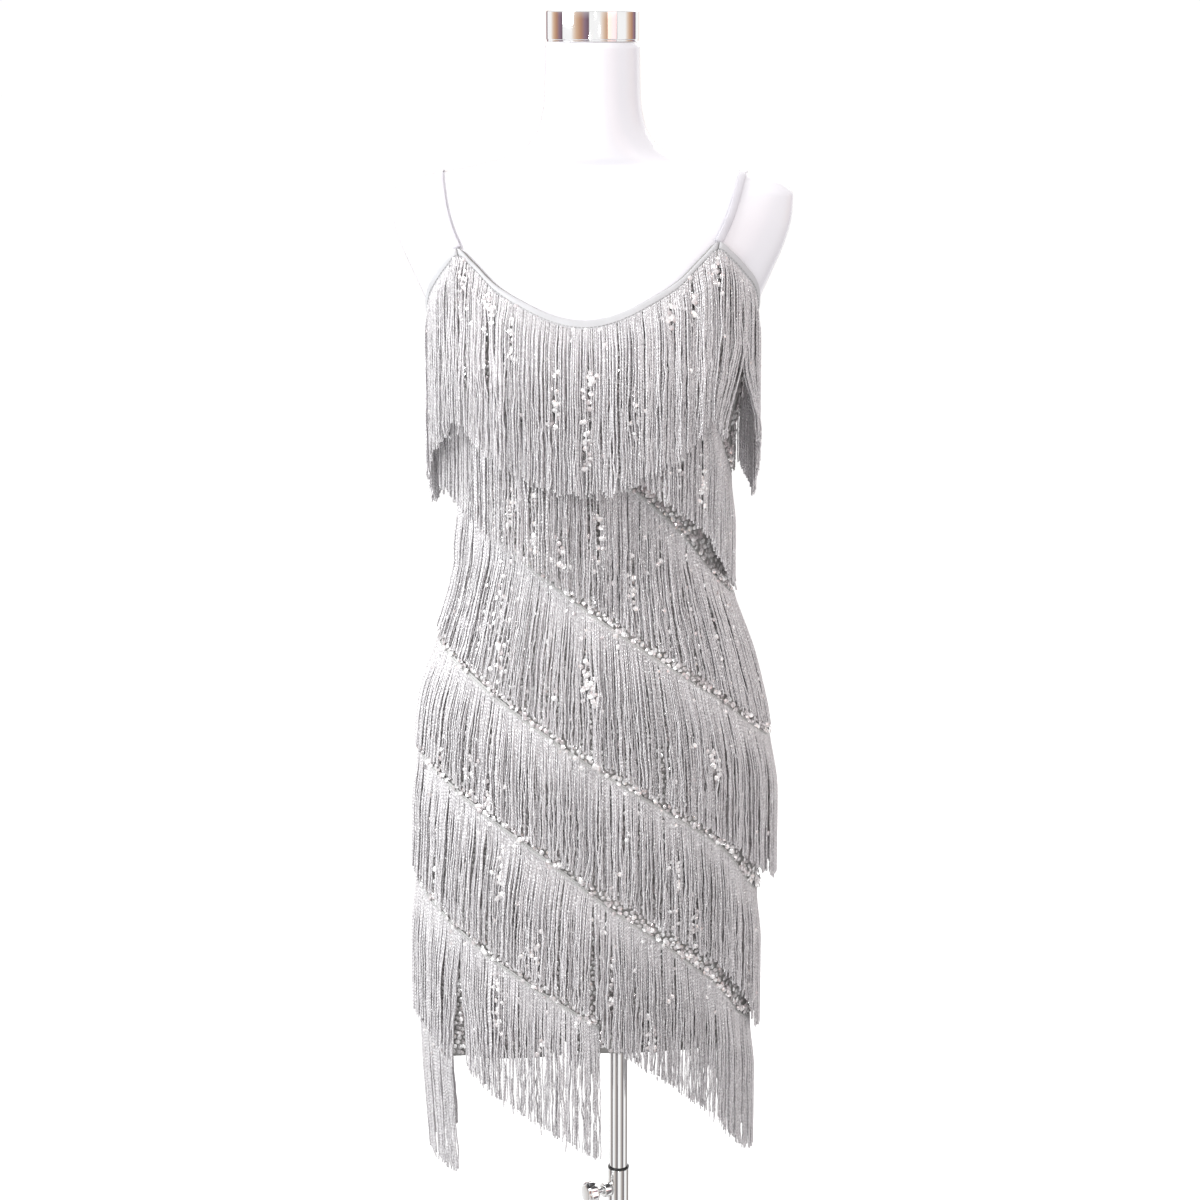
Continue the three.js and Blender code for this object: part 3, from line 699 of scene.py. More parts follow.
def rounded(corners, radius):
    """A profile of (radius, height) with its inner corners rounded."""
    path = [corners[0]]
    for before, here, after in zip(corners, corners[1:], corners[2:]):
        here, before, after = (np.array(p, float) for p in (here, before, after))
        one, two = before - here, after - here
        reach = min(radius, 0.45 * np.linalg.norm(one), 0.45 * np.linalg.norm(two))
        start = here + one / np.linalg.norm(one) * reach
        end = here + two / np.linalg.norm(two) * reach
        for t in np.linspace(0, 1, ROUND_STEPS):
            path.append(tuple((1 - t) ** 2 * start + 2 * t * (1 - t) * here + t**2 * end))
    return path + [corners[-1]]


def lathe(name, profile, material, sides=96, closed=False):
    """A turned piece about Z. An open profile starts and ends on the axis."""
    turns = np.linspace(0, math.tau, sides, endpoint=False)[:, None]
    radius, height = np.array(profile if closed else profile[1:-1]).T
    rows = len(radius)
    axes = np.broadcast_arrays(radius * np.cos(turns), radius * np.sin(turns), height)
    points = np.stack(axes, -1).reshape(-1, 3)
    faces = grid_faces(sides, rows, round_it=True).tolist()
    if closed:
        for i in range(sides):
            after = (i + 1) % sides
            faces.append([i * rows + rows - 1, after * rows + rows - 1, after * rows, i * rows])
    else:
        points = np.concatenate([points, [[0, 0, profile[0][1]], [0, 0, profile[-1][1]]]])
        faces += cap_faces(sides, rows)
    made = make_object(name, points, faces, material, smooth=(3, 4))
    made.data.set_sharp_from_angle(angle=CRISP)
    made.data.update()
    return made


def disc_profile(radius, low, high, rim):
    return rounded([(0, low), (radius, low), (radius, high), (0, high)], rim)


def tube_profile(bore, radius, low, high, rim):
    corners = [(bore, low), (radius, low), (radius, high), (bore, high)]
    looped = rounded(corners + corners[:3], rim)
    return looped[1:-1][: len(corners) * ROUND_STEPS]


def stand_in_for(made, node, body):
    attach(made, body)
    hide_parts(node)
    print(made.name, "for", node, "-", triangles(made), "triangles")


print("lathe ready")


# %% Plate, socket, poles and ring
TUBE_BORE = 10.4 * MM


def heights_of(node):
    low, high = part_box(node)
    return low[2], high[2]


def half_width_of(node):
    low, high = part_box(node)
    return (high[0] - low[0]) / 2


def turned(name, node, body, rim, sides=96):
    """A chrome disc or rod as wide and as high as its node."""
    low, high = heights_of(node)
    made = lathe(name, disc_profile(half_width_of(node), low, high, rim), CHROME, sides)
    stand_in_for(made, node, body)


def build_stand():
    turned("base_disc", "base_plate", "stand", 3 * MM, 160)
    turned("pole_socket", "base_socket", "stand", 4 * MM)
    low, high = heights_of("pole_lower")
    outer_tube = lathe(
        "lower_tube", tube_profile(TUBE_BORE, half_width_of("pole_lower"), low, high, 0.3 * MM),
        CHROME, closed=True,
    )
    stand_in_for(outer_tube, "pole_lower", "stand")
    low, high = heights_of("pole_ring")
    rim, lip = 0.4 * MM, half_width_of("pole_ring") - 0.9 * MM
    ring = lathe(
        "wiper_ring", tube_profile(TUBE_BORE, lip, low + rim, high - rim, 0.6 * MM),
        RUBBER, closed=True,
    )
    stand_in_for(ring, "pole_ring", "stand")
    turned("upper_tube", "pole_upper", "form", 0.6 * MM)
    turned("foot_flange", "form_flange", "form", 1 * MM)


build_stand()


# %% Neck cap
def build_cap():
    low, high = heights_of("form_neck_cap")
    radius = half_width_of("form_neck_cap")
    groove = 0.7 * MM
    profile = rounded([
        (0, low), (radius - groove, low), (radius - groove, low + 2 * MM), (radius, low + 2.6 * MM),
        (radius, high), (0, high),
    ], 1.6 * MM)
    made = lathe("neck_cap", profile, CHROME, 128)
    set_points(made, points_of(made) + (FIGURE_X, 0, 0))
    return made


neck_cap = build_cap()
stand_in_for(neck_cap, "form_neck_cap", "form")

# %% [markdown]
# ## The clamp knob
#
# A screw through the lower tube's wall clamps the upper tube. Its head has shallow flutes for
# the fingers, so the lathe's ring is pushed in by a cosine before it is laid on its side.


# %% Boss and knob
KNOB_Z = 288 * MM
KNOB_TURN = math.radians(28)


def lay_outwards(made):
    """Turns a piece made about Z so that it points out of the tube, at the knob's height."""
    x, y, z = points_of(made).T
    out = np.array([-math.cos(KNOB_TURN), -math.sin(KNOB_TURN), 0])
    side = np.array([-out[1], out[0], 0])
    placed = z[:, None] * out - y[:, None] * side
    placed[:, 2] += x + KNOB_Z
    set_points(made, placed)


def build_knob():
    FOOT, BOSS_OUT, BOSS_RADIUS, BOSS_BORE = 11.8 * MM, 8 * MM, 8 * MM, 4.3 * MM
    STEM, HEAD, HEAD_DEEP = 4 * MM, 13 * MM, 13 * MM
    FLUTES, FLUTE_DEPTH, FLUTE_FROM, FLUTE_FADE = 8, 0.9 * MM, 9 * MM, 3 * MM
    end = FOOT + BOSS_OUT
    sleeve = tube_profile(BOSS_BORE, BOSS_RADIUS, FOOT, end, 0.8 * MM)
    boss = lathe("clamp_boss", sleeve, CHROME, 64, closed=True)
    lay_outwards(boss)
    stand_in_for(boss, "knob_boss", "stand")
    neck, tip, start = end + 9 * MM, end + 9 * MM + HEAD_DEEP, FOOT + 0.3 * MM
    profile = rounded([
        (0, start), (STEM, start), (STEM, neck), (HEAD - 2 * MM, neck), (HEAD, neck + 2 * MM),
        (HEAD, tip - 3 * MM), (HEAD - 3 * MM, tip), (0, tip),
    ], 1.5 * MM)
    knob = lathe("clamp_knob", profile, CHROME, 128)
    points = points_of(knob)
    radius = np.hypot(points[:, 0], points[:, 1])
    turn = np.arctan2(points[:, 1], points[:, 0])
    deep = FLUTE_DEPTH * smoothstep((radius - FLUTE_FROM) / FLUTE_FADE)
    deep *= 0.5 - 0.5 * np.cos(FLUTES * turn)
    points[:, :2] *= (1 - deep / np.maximum(radius, MM))[:, None]
    set_points(knob, points)
    lay_outwards(knob)
    stand_in_for(knob, "knob", "knob")


build_knob()

# %% [markdown]
# ## The dress: front and back
#
# The base of the dress is a thin stretch cloth, cut as a front and a back and sewn at the sides.
# It could be draped by simulation, but a tight knit keeps the figure's shape, so each panel is a
# wall of the figure's own surface, 1.5 mm thick.

# %% Front and back panels
CLOTH_WALL = 1.5 * MM
SEAM_TURN = 0.0026  # half of the gap at a side seam, in radians
UV_RADIUS = 150 * MM  # width on the UV map of one radian of turn


def build_wall(name, turns, heights, out, under, origin, material, round_it=False):
    """A closed wall on the cloth between two distances, with a UV map in metres."""
    sides = [on_cloth(turns, heights, distance).reshape(-1, 3) for distance in (out, under)]
    made = make_object(name, np.concatenate(sides), wall_faces(*heights.shape, round_it), material)
    across = (turns - origin[0]) * UV_RADIUS
    flat = np.stack(np.broadcast_arrays(across, heights - origin[1]), -1).reshape(-1, 2)
    add_uv(made, np.concatenate([flat, flat]))
    return made


def build_panel(name, node, middle, columns=96, rows=124):
    quarter = math.pi / 2 - SEAM_TURN
    turns = middle + np.linspace(-quarter, quarter, columns)[:, None]
    share = np.linspace(0, 1, rows)[None, :]
    low, high = hem(turns), top_edge(turns)
    heights = low + (high - low) * share
    made = build_wall(name, turns, heights, 0, -CLOTH_WALL, (middle, 0), CLOTH)
    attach(made, "form")
    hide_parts(node)
    outer = on_cloth(turns, heights)
    edges = np.diff(outer, axis=0)[:, :-1]
    ups = np.diff(outer, axis=1)[:-1]
    area = float(np.linalg.norm(np.cross(edges, ups), axis=-1).sum())
    print(f"{name}: {triangles(made)} triangles, {area:.4f} m2 of cloth")
    return made


front_panel = build_panel("front_panel", "dress_front", middle=0)
back_panel = build_panel("back_panel", "dress_back", middle=math.pi)

# %% [markdown]
# ## Sequins
#
# The cloth is sewn over with small cupped discs in staggered rows. Thousands of them are one
# Geometry Nodes tree: it puts a six-sided cup on every point of a cloud, turned to the cloth
# and tilted a little at random. Realize Instances and Set Material end the tree, and its result
# is kept as a plain mesh.


# %% Helpers for Geometry Nodes
def new_tree(name, takes):
    geometry = "NodeSocketGeometry"
    return new_group(
        name, "GeometryNodeTree", [("Geometry", geometry, None), *takes], [("Geometry", geometry)],
    )


def end_tree(tree, ins, outs, geometry):
    """The end of every tree: its pieces are made real and get their material."""
    real = add_node(tree, "GeometryNodeRealizeInstances", {"Geometry": geometry})
    done = add_node(tree, "GeometryNodeSetMaterial", {
        "Geometry": real.outputs[0], "Material": ins["Material"],
    })
    tree.links.new(done.outputs[0], outs.inputs["Geometry"])
    return tree


def grow(name, source, tree, material, values):
    """Runs a tree on a source object and keeps its result as a plain mesh object."""
    modifier = source.modifiers.new("grow", "NODES")
    modifier.node_group = tree
    sockets = {s.name: s.identifier for s in tree.interface.items_tree if s.in_out == "INPUT"}
    for label, value in {**values, "Material": material}.items():
        modifier[sockets[label]] = value
    graph = bpy.context.evaluated_depsgraph_get()
    mesh = bpy.data.meshes.new_from_object(source.evaluated_get(graph))
    mesh.name = name
    source.modifiers.clear()
    made = add_object(name, mesh)
    old = source.data
    bpy.data.objects.remove(source)
    bpy.data.meshes.remove(old)
    return made


def point_cloud(name, points, edges=(), **attributes):
    """A mesh of points and edges with values on its points."""
    mesh = bpy.data.meshes.new(name)
    mesh.from_pydata(np.asarray(points).tolist(), np.asarray(edges).tolist(), [])
    for label, values in attributes.items():
        values = np.asarray(values, dtype=np.float32)
        kind = "FLOAT_VECTOR" if values.ndim == 2 else "FLOAT"
        layer = mesh.attributes.new(label, kind, "POINT")
        layer.data.foreach_set("vector" if values.ndim == 2 else "value", values.ravel())
    return add_object(name, mesh)


def named(tree, label, kind="FLOAT"):
    node = add_node(tree, "GeometryNodeInputNamedAttribute", {"Name": label}, data_type=kind)
    return node.outputs["Attribute"]


print("Geometry Nodes helpers ready")


# %% The sequin tree
def build_sequin_tree():
    tree, ins, outs = new_tree("sequins", [
        ("Radius", FLOAT, 2.5 * MM), ("Cup", FLOAT, 0.7 * MM), ("Tilt", FLOAT, 0.3),
        ("Seed", "NodeSocketInt", 1), ("Material", "NodeSocketMaterial", None),
    ])
    cup_shape = add_node(tree, "GeometryNodeMeshCone", {
        "Vertices": 6, "Radius Top": 0.0, "Radius Bottom": ins["Radius"], "Depth": ins["Cup"],
    }, fill_type="NONE")
    turned = add_node(
        tree, "FunctionNodeAlignEulerToVector",
        {"Vector": named(tree, "normal", "FLOAT_VECTOR")}, axis="Z",
    )
    low = maths(tree, "MULTIPLY", ins["Tilt"], -1.0)
    lowest = add_node(tree, "ShaderNodeCombineXYZ", {0: low, 1: low, 2: -math.pi})
    highest = add_node(tree, "ShaderNodeCombineXYZ", {0: ins["Tilt"], 1: ins["Tilt"], 2: math.pi})
    lean = add_node(tree, "FunctionNodeRandomValue", {
        0: lowest.outputs[0], 1: highest.outputs[0], "Seed": ins["Seed"],
    }, data_type="FLOAT_VECTOR")
    spin = add_node(tree, "FunctionNodeRotateEuler", {
        "Rotation": turned.outputs[0], "Rotate By": lean.outputs[0],
    }, rotation_type="EULER", space="LOCAL")
    spots = add_node(tree, "GeometryNodeMeshToPoints", {"Mesh": ins["Geometry"]})
    placed = add_node(tree, "GeometryNodeInstanceOnPoints", {
        "Points": spots.outputs[0], "Instance": cup_shape.outputs["Mesh"], "Rotation": spin.outputs[0],
    })
    return end_tree(tree, ins, outs, placed.outputs[0])


SEQUINS = build_sequin_tree()
print("tree:", SEQUINS.name)


# %% Sequins on front and back
SEQUIN_PITCH = 6.3 * MM
SEQUIN_ROW = 5.5 * MM
SEQUIN_OUT = 0.75 * MM
SEQUIN_FIRST, SEQUIN_LAST = 0.45, 1.34  # heights of the rows, in metres
CLEAR_OF_SEAM, CLEAR_OF_HEM, CLEAR_OF_TOP = 0.02, 3 * MM, 6 * MM  # the first in radians
STANDING = 0.3  # part of the sequins that strands have pulled up between them
PULLED_UP = (1, 3.2)  # by so many millimetres


def put_sequins(name, spots, normals, rng, seed):
    """Sequins at points, each turned to its normal."""
    source = point_cloud(name + "_spots", spots, normal=normals, tint=rng.random(len(spots)))
    made = grow(name, source, SEQUINS, SEQUIN, {
        "Radius": 2.9 * MM, "Cup": 0.8 * MM, "Tilt": 0.36, "Seed": seed,
    })
    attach(made, "form")
    print(f"{name}: {len(spots)} sequins, {triangles(made)} triangles")
    return made


def way_out(turns, heights):
    """Unit normals of the cloth at some turns and heights."""
    here = on_cloth(turns, heights)
    ahead = on_cloth(turns + 0.01, heights) - here
    up = on_cloth(turns, heights + MM) - here
    facing = np.cross(ahead, up)
    return facing / np.linalg.norm(facing, axis=1, keepdims=True)


def build_sequins(name, middle, seed):
    rng = np.random.default_rng(seed)
    spots, normals = [], []
    for row, z in enumerate(np.arange(SEQUIN_FIRST, SEQUIN_LAST, SEQUIN_ROW)):
        line = lambda turns: np.full_like(turns, z)
        edge = math.pi / 2 - CLEAR_OF_SEAM
        turns = spaced(line, middle - edge, middle + edge, SEQUIN_PITCH)
        turns = turns[:-1] + np.diff(turns) * (0.5 if row % 2 else 0.0)
        turns = turns + rng.normal(0, 0.002, len(turns))
        heights = z + rng.normal(0, 0.25 * MM, len(turns))
        inside = (heights > hem(turns) + CLEAR_OF_HEM) & (heights < top_edge(turns) - CLEAR_OF_TOP)
        turns, heights = turns[inside], heights[inside]
        standing = rng.random(len(turns)) < STANDING
        out = SEQUIN_OUT + np.where(standing, rng.uniform(*PULLED_UP, len(turns)) * MM, 0)
        spots.append(on_cloth(turns, heights, out))
        normals.append(way_out(turns, heights))
    return put_sequins(name, np.concatenate(spots), np.concatenate(normals), rng, seed)


front_sequins = build_sequins("front_sequins", middle=0, seed=11)
back_sequins = build_sequins("back_sequins", middle=math.pi, seed=12)

# %% [markdown]
# ## Fringe
#
# Chainette fringe comes as a narrow tape with strands 152 mm long. It is sewn on in rows: one
# under the neckline, the others slanting down to the wearer's left. A strand rests on the cloth
# where the cloth widens below it and drops plumb where the cloth falls away.

# %% Rows of fringe
TAPE_HEIGHT = 9 * MM
TAPE_THICK = 1.2 * MM
LAY_ON = 2.0 * MM
BINDING_HEIGHT = 8 * MM
BINDING_GAP = 2.2 * MM
ENDS_CLEAR = 9.5 * MM  # strands end this far above the next tape, where that is near
LEAST_LENGTH = 0.72  # but they are never shorter than this part of their length
STATIONS = np.array([-1, -0.7, 0, 0.7, 1])
ROWS = [
    # name, heights at the stations, first and last turn in degrees, length, swing in front
    # of the centre and at the side seams
    ("breast", (1374, 1333, 1252, 1183, 1090), 15, 148, 128, 5, 5),
    ("ribs", (1200, 1176, 1117, 1031, 962), -180, 180, 142, 5, 2.5),
    ("waist", (1070, 1030, 958, 869, 808), -180, 180, 148, 5, 5),
    ("hip", (915, 884, 798, 704, 636), -180, 180, 148, 5, 5),
    ("seat", (795, 755, 663, 562, 490), -180, 180, 144, 5, 5),
    ("thigh", (652, 606, 523, 440, 400), -185, 5, 142, 5, 5),
    ("hem", (493, 473, 440, 400, 380), -122, -54, 142, 1, 1),
]
YOKE_LENGTH, YOKE_SWING, YOKE_SIDE_SWING = 160, 8.5, 3  # millimetres
YOKE_REACH, TIER_REACH = 25, 60  # drop in which a row swings out
# Where strands hang apart: turn, width and shift in degrees.
PARTINGS = {"yoke": [(51, 12, 8)], "thigh": [(-46, 10, 3.2)]}
PARTING_FROM = {"yoke": 0.45, "thigh": 0.0}  # part of the length above the gap
# Where sequins show most between strands: turn in degrees, drop and height in millimetres.
GLINTS = {
    "yoke": [(-40, 24, 20), (-33, 16, 12), (-26, 30, 24), (25, 18, 16), (31, 24, 22),
             (38, 20, 18), (-2, 128, 34), (-1, 60, 40), (-12, 80, 26), (14, 96, 30)],
    "breast": [(32, 70, 30), (44, 96, 24)],
    "ribs": [(-22, 100, 34), (-12, 118, 26), (-32, 84, 26), (2, 70, 30), (16, 96, 24)],
    "waist": [(-40, 60, 42), (-34, 96, 22), (-2, 66, 18), (1, 80, 14), (41, 78, 22)],
    "hip": [(-42, 92, 26), (-35, 106, 20), (26, 70, 30), (33, 100, 22)],
    "seat": [(-30, 50, 30), (-16, 96, 26), (8, 84, 40), (22, 102, 22)],
    "thigh": [(-30, 40, 26), (-14, 70, 26)],
}
# Where strands hang at full length over the next row: turn and width in degrees.
OVER = {"hip": (90, 17)}
DRAWN_IN = {"hem": 0.05}  # part by which a row's ends hang nearer to the centre


def slanting(heights):
    values = np.array(heights) * MM
    return lambda turns: read(STATIONS, values, np.sin(turns))


def yoke_line(turns):
    return top_edge(turns) - (BINDING_HEIGHT + BINDING_GAP + TAPE_HEIGHT / 2)


def hung(turn, start, z, out):
    """Points of strands that are sewn on at one height and hang to another."""
    CHECKS = 12
    point = on_cloth(turn, z, out)
    aside = point[..., 0] - FIGURE_X
    depth = point[..., 1]
    for i in range(CHECKS):
        higher = on_cloth(turn, z + (start - z) * (i + 1) / CHECKS, out)
        wider = higher[..., 0] - FIGURE_X
        aside = np.where(np.abs(wider) > np.abs(aside), wider, aside)
        depth = np.where(np.abs(higher[..., 1]) > np.abs(depth), higher[..., 1], depth)
    return np.stack([FIGURE_X + aside, depth, point[..., 2]], -1)


print(len(ROWS) + 1, "rows of fringe")


# %% The tree that thickens strands
def build_strand_tree():
    tree, ins, outs = new_tree("strands", [
        ("Thickness", FLOAT, 2 * MM), ("Sides", "NodeSocketInt", 4), ("Clump", FLOAT, 2 * MM),
        ("Sway", FLOAT, 1 * MM), ("Crinkle", FLOAT, 1 * MM),
        ("Material", "NodeSocketMaterial", None),
    ])
    place = add_node(tree, "GeometryNodeInputPosition").outputs[0]

    def wander(scale, shift, amount):
        """A sideways push from noise, which grows with the drop."""
        where = vector_maths(tree, "ADD", vector_maths(tree, "MULTIPLY", place, scale), shift)
        noise = add_node(tree, "ShaderNodeTexNoise", {"Vector": where, "Scale": 1.0, "Detail": 1.5})
        centred = maths(tree, "SUBTRACT", noise.outputs["Fac"], 0.5)
        grown = maths(tree, "MULTIPLY", centred, named(tree, "drop"))
        push = add_node(tree, "ShaderNodeVectorMath", {
            0: named(tree, "aside", "FLOAT_VECTOR"), "Scale": maths(tree, "MULTIPLY", grown, amount),
        }, operation="SCALE")
        return push.outputs[0]

    def captured(geometry, label, measure):
        """Keeps a measure of a curve on its points, so that the mesh can read it."""
        along = add_node(tree, "GeometryNodeSplineParameter")
        keep = add_node(tree, "GeometryNodeCaptureAttribute", {"Geometry": geometry}, domain="POINT")
        keep.capture_items.new("FLOAT", label)
        tree.links.new(along.outputs[measure], keep.inputs[label])
        return keep.outputs

    tint = named(tree, "tint")
    own = add_node(tree, "ShaderNodeCombineXYZ", {0: tint, 1: tint, 2: tint})
    apart = vector_maths(tree, "MULTIPLY", own.outputs[0], (91.0, 57.0, 33.0))
    bundles = wander((110.0, 110.0, 9.0), (0.0, 0.0, 0.0), ins["Clump"])
    single = wander((20.0, 20.0, 32.0), apart, ins["Sway"])
    kinks = wander((40.0, 40.0, 85.0), apart, ins["Crinkle"])
    all_three = vector_maths(tree, "ADD", vector_maths(tree, "ADD", bundles, single), kinks)
    swayed = add_node(tree, "GeometryNodeSetPosition", {
        "Geometry": ins["Geometry"], "Offset": all_three,
    })
    lines = add_node(tree, "GeometryNodeMeshToCurve", {"Mesh": swayed.outputs[0]})
    length = captured(lines.outputs[0], "run", "Length")
    ring = add_node(tree, "GeometryNodeCurvePrimitiveCircle", {
        "Resolution": ins["Sides"], "Radius": maths(tree, "MULTIPLY", ins["Thickness"], 0.5),
    })
    turned_by = captured(ring.outputs[0], "turn", "Factor")
    tubes = add_node(tree, "GeometryNodeCurveToMesh", {
        "Curve": length["Geometry"], "Profile Curve": turned_by["Geometry"], "Fill Caps": True,
    })
    pair = add_node(tree, "ShaderNodeCombineXYZ", {0: turned_by["turn"], 1: length["run"]})
    mapped = add_node(tree, "GeometryNodeStoreNamedAttribute", {
        "Geometry": tubes.outputs[0], "Name": "UVMap", "Value": pair.outputs[0],
    }, data_type="FLOAT2", domain="CORNER")
    smooth = add_node(tree, "GeometryNodeSetShadeSmooth", {"Geometry": mapped.outputs[0]})
    return end_tree(tree, ins, outs, smooth.outputs[0])


STRANDS = build_strand_tree()
print("tree:", STRANDS.name)


# %% [markdown]
# ## Sewing
#
# A machine leaves a row of short stitches along each tape and along the neckline's binding. Each
# stitch could be only a bump, but it catches light on both sides, so it is a small cylinder. The
# tree turns a line into points at an even pitch and lays one stitch on each, along the line.

# %% The tree that sews
STITCH_PITCH = 4 * MM


def build_stitch_tree():
    tree, ins, outs = new_tree("stitches", [
        ("Pitch", FLOAT, STITCH_PITCH), ("Length", FLOAT, 2.6 * MM), ("Thickness", FLOAT, 0.7 * MM),
        ("Material", "NodeSocketMaterial", None),
    ])
    stitch = add_node(tree, "GeometryNodeMeshCylinder", {
        "Vertices": 5, "Radius": maths(tree, "MULTIPLY", ins["Thickness"], 0.5),
        "Depth": ins["Length"],
    }, fill_type="NGON")
    line = add_node(tree, "GeometryNodeMeshToCurve", {"Mesh": ins["Geometry"]})
    spots = add_node(tree, "GeometryNodeCurveToPoints", {
        "Curve": line.outputs[0], "Length": ins["Pitch"],
    }, mode="LENGTH")
    along = add_node(
        tree, "FunctionNodeAlignEulerToVector", {"Vector": spots.outputs["Tangent"]}, axis="Z",
    )
    placed = add_node(tree, "GeometryNodeInstanceOnPoints", {
        "Points": spots.outputs["Points"], "Instance": stitch.outputs["Mesh"],
        "Rotation": along.outputs[0],
    })
    return end_tree(tree, ins, outs, placed.outputs[0])


STITCHES = build_stitch_tree()


def sew(name, line, start, end, out, slot):
    """One row of stitches along a line on the cloth, its middles this far out."""
    turns = spaced(line, start, end, STITCH_PITCH)
    points = on_cloth(turns, line(turns), out)
    first = np.arange(len(turns) - 1)
    source = point_cloud(name + "_line", points, np.stack([first, first + 1], -1))
    made = grow(name, source, STITCHES, THREAD, {})
    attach(made, "form")
    return made


print("tree:", STITCHES.name)


# %% Tape of one row
TAPE_STEP = 5 * MM


def build_tape(name, line, start, end):
    whole = math.isclose(end - start, math.tau)
    turns = spaced(line, start, end, TAPE_STEP)
    if whole:
        turns = turns[:-1]
    middle = line(turns)
    levels = np.array([-0.5, -0.42, 0.0, 0.42, 0.5]) * TAPE_HEIGHT
    crown = np.array([0.2, 1.0, 1.0, 1.0, 0.2]) * TAPE_THICK
    turns, middle = turns[:, None], middle[:, None]
    made = build_wall(
        name, turns, middle + levels, LAY_ON + crown, LAY_ON, (0, middle), TAPE, whole,
    )
    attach(made, "form")
    return made


print("tape ready")


# %% Strands of one row
STRAND_PITCH = 1.4 * MM
STRAND_STEPS = 17
STRAND_THICK = 1.8 * MM
LAYERS = 4.4 * MM  # thickness of a row where strands lie over each other
SWING_LESS = 1.4  # millimetres taken off each row's swing
ROOT_UP = 0.05  # part of the tape's height from its middle up to the strands' roots
SWAY_GROWS = 1.6  # how soon along a strand its sway is full
TINT, TINT_UNEVEN = 0.52, 0.14
CUT_UNEVEN, ROOT_UNEVEN, END_UNEVEN = 2.4 * MM, 0.4 * MM, 0.9 * MM
STRAYS, STRAY_BY = 0.06, (-14, 9)  # part of the strands, and millimetres of length
SLITS_PER_METRE = 125  # places where sequins peep between the strands
SLIT_DROP, SLIT_TALL, SLIT_WIDE = (0, 150), (14, 46), (0.8, 2.4)  # millimetres
GLINT_WIDE = 2.9


def along_cloth(turn, z):
    """Sideways direction on the cloth, and metres of cloth in one radian of turn."""
    STEP = 0.01
    way = (on_cloth(turn + STEP, z) - on_cloth(turn - STEP, z)) / (2 * STEP)
    size = np.linalg.norm(way, axis=-1, keepdims=True)
    return way / size, size[..., 0]


def slits(rng, label, turns, drop, per_radian, span):
    """Sideways shift, in metres, that opens long narrow slits between strands."""
    shift = np.zeros(drop.shape)
    spots = [
        (rng.uniform(turns[0], turns[-1]), rng.uniform(*SLIT_DROP), rng.uniform(*SLIT_TALL),
         rng.uniform(*SLIT_WIDE))
        for _ in range(int(SLITS_PER_METRE * span))
    ]
    for turn, down, tall in GLINTS.get(label, []):
        spots.append((math.radians(turn), down, tall, GLINT_WIDE))
    for at, height, tall, wide in spots:
        height, tall, wide = height * MM, tall * MM, wide * MM
        away = between(at, turns) * per_radian
        near = np.exp(-((away / (2.5 * wide)) ** 2))
        left, right = rng.uniform(0.1, 1, 2)
        push = np.where(away > 0, right, -left) * near * wide
        shift += push[:, None] * np.exp(-(((drop - height) / tall) ** 2))
    return shift


def parted(label, turns):
    """How far a row's strands hang aside at their ends, in radians of turn."""
    shift = np.zeros(len(turns))
    for middle, wide, far in PARTINGS.get(label, []):
        away = between(math.radians(middle), turns)
        near = np.exp(-((away / math.radians(wide)) ** 2))
        shift += np.where(away > 0, 1, -1) * near * math.radians(far)
    return shift


def hang_of(rng, label, turns, length, room):
    """Length of each strand, a little uneven as cut fringe is."""
    far, near = length * MM, LEAST_LENGTH * length * MM
    if label in OVER:
        middle, wide = OVER[label]
        free = np.abs(between(math.radians(middle), turns)) < math.radians(wide)
        room = np.where(free, np.inf, room)
    hang = np.minimum(far, np.maximum(room, near)) + TAPE_HEIGHT * (0.5 + ROOT_UP)
    hang = hang + rng.normal(0, CUT_UNEVEN, len(turns))
    stray = rng.random(len(turns)) < STRAYS
    return hang + np.where(stray, rng.uniform(*STRAY_BY, len(turns)) * MM, 0)


def swung_out(turns, swing, side_swing):
    """Millimetres that a row swings out, most at the centre of the front and of the back."""
    return side_swing + (swing - side_swing) * np.cos(turns) ** 4 - SWING_LESS


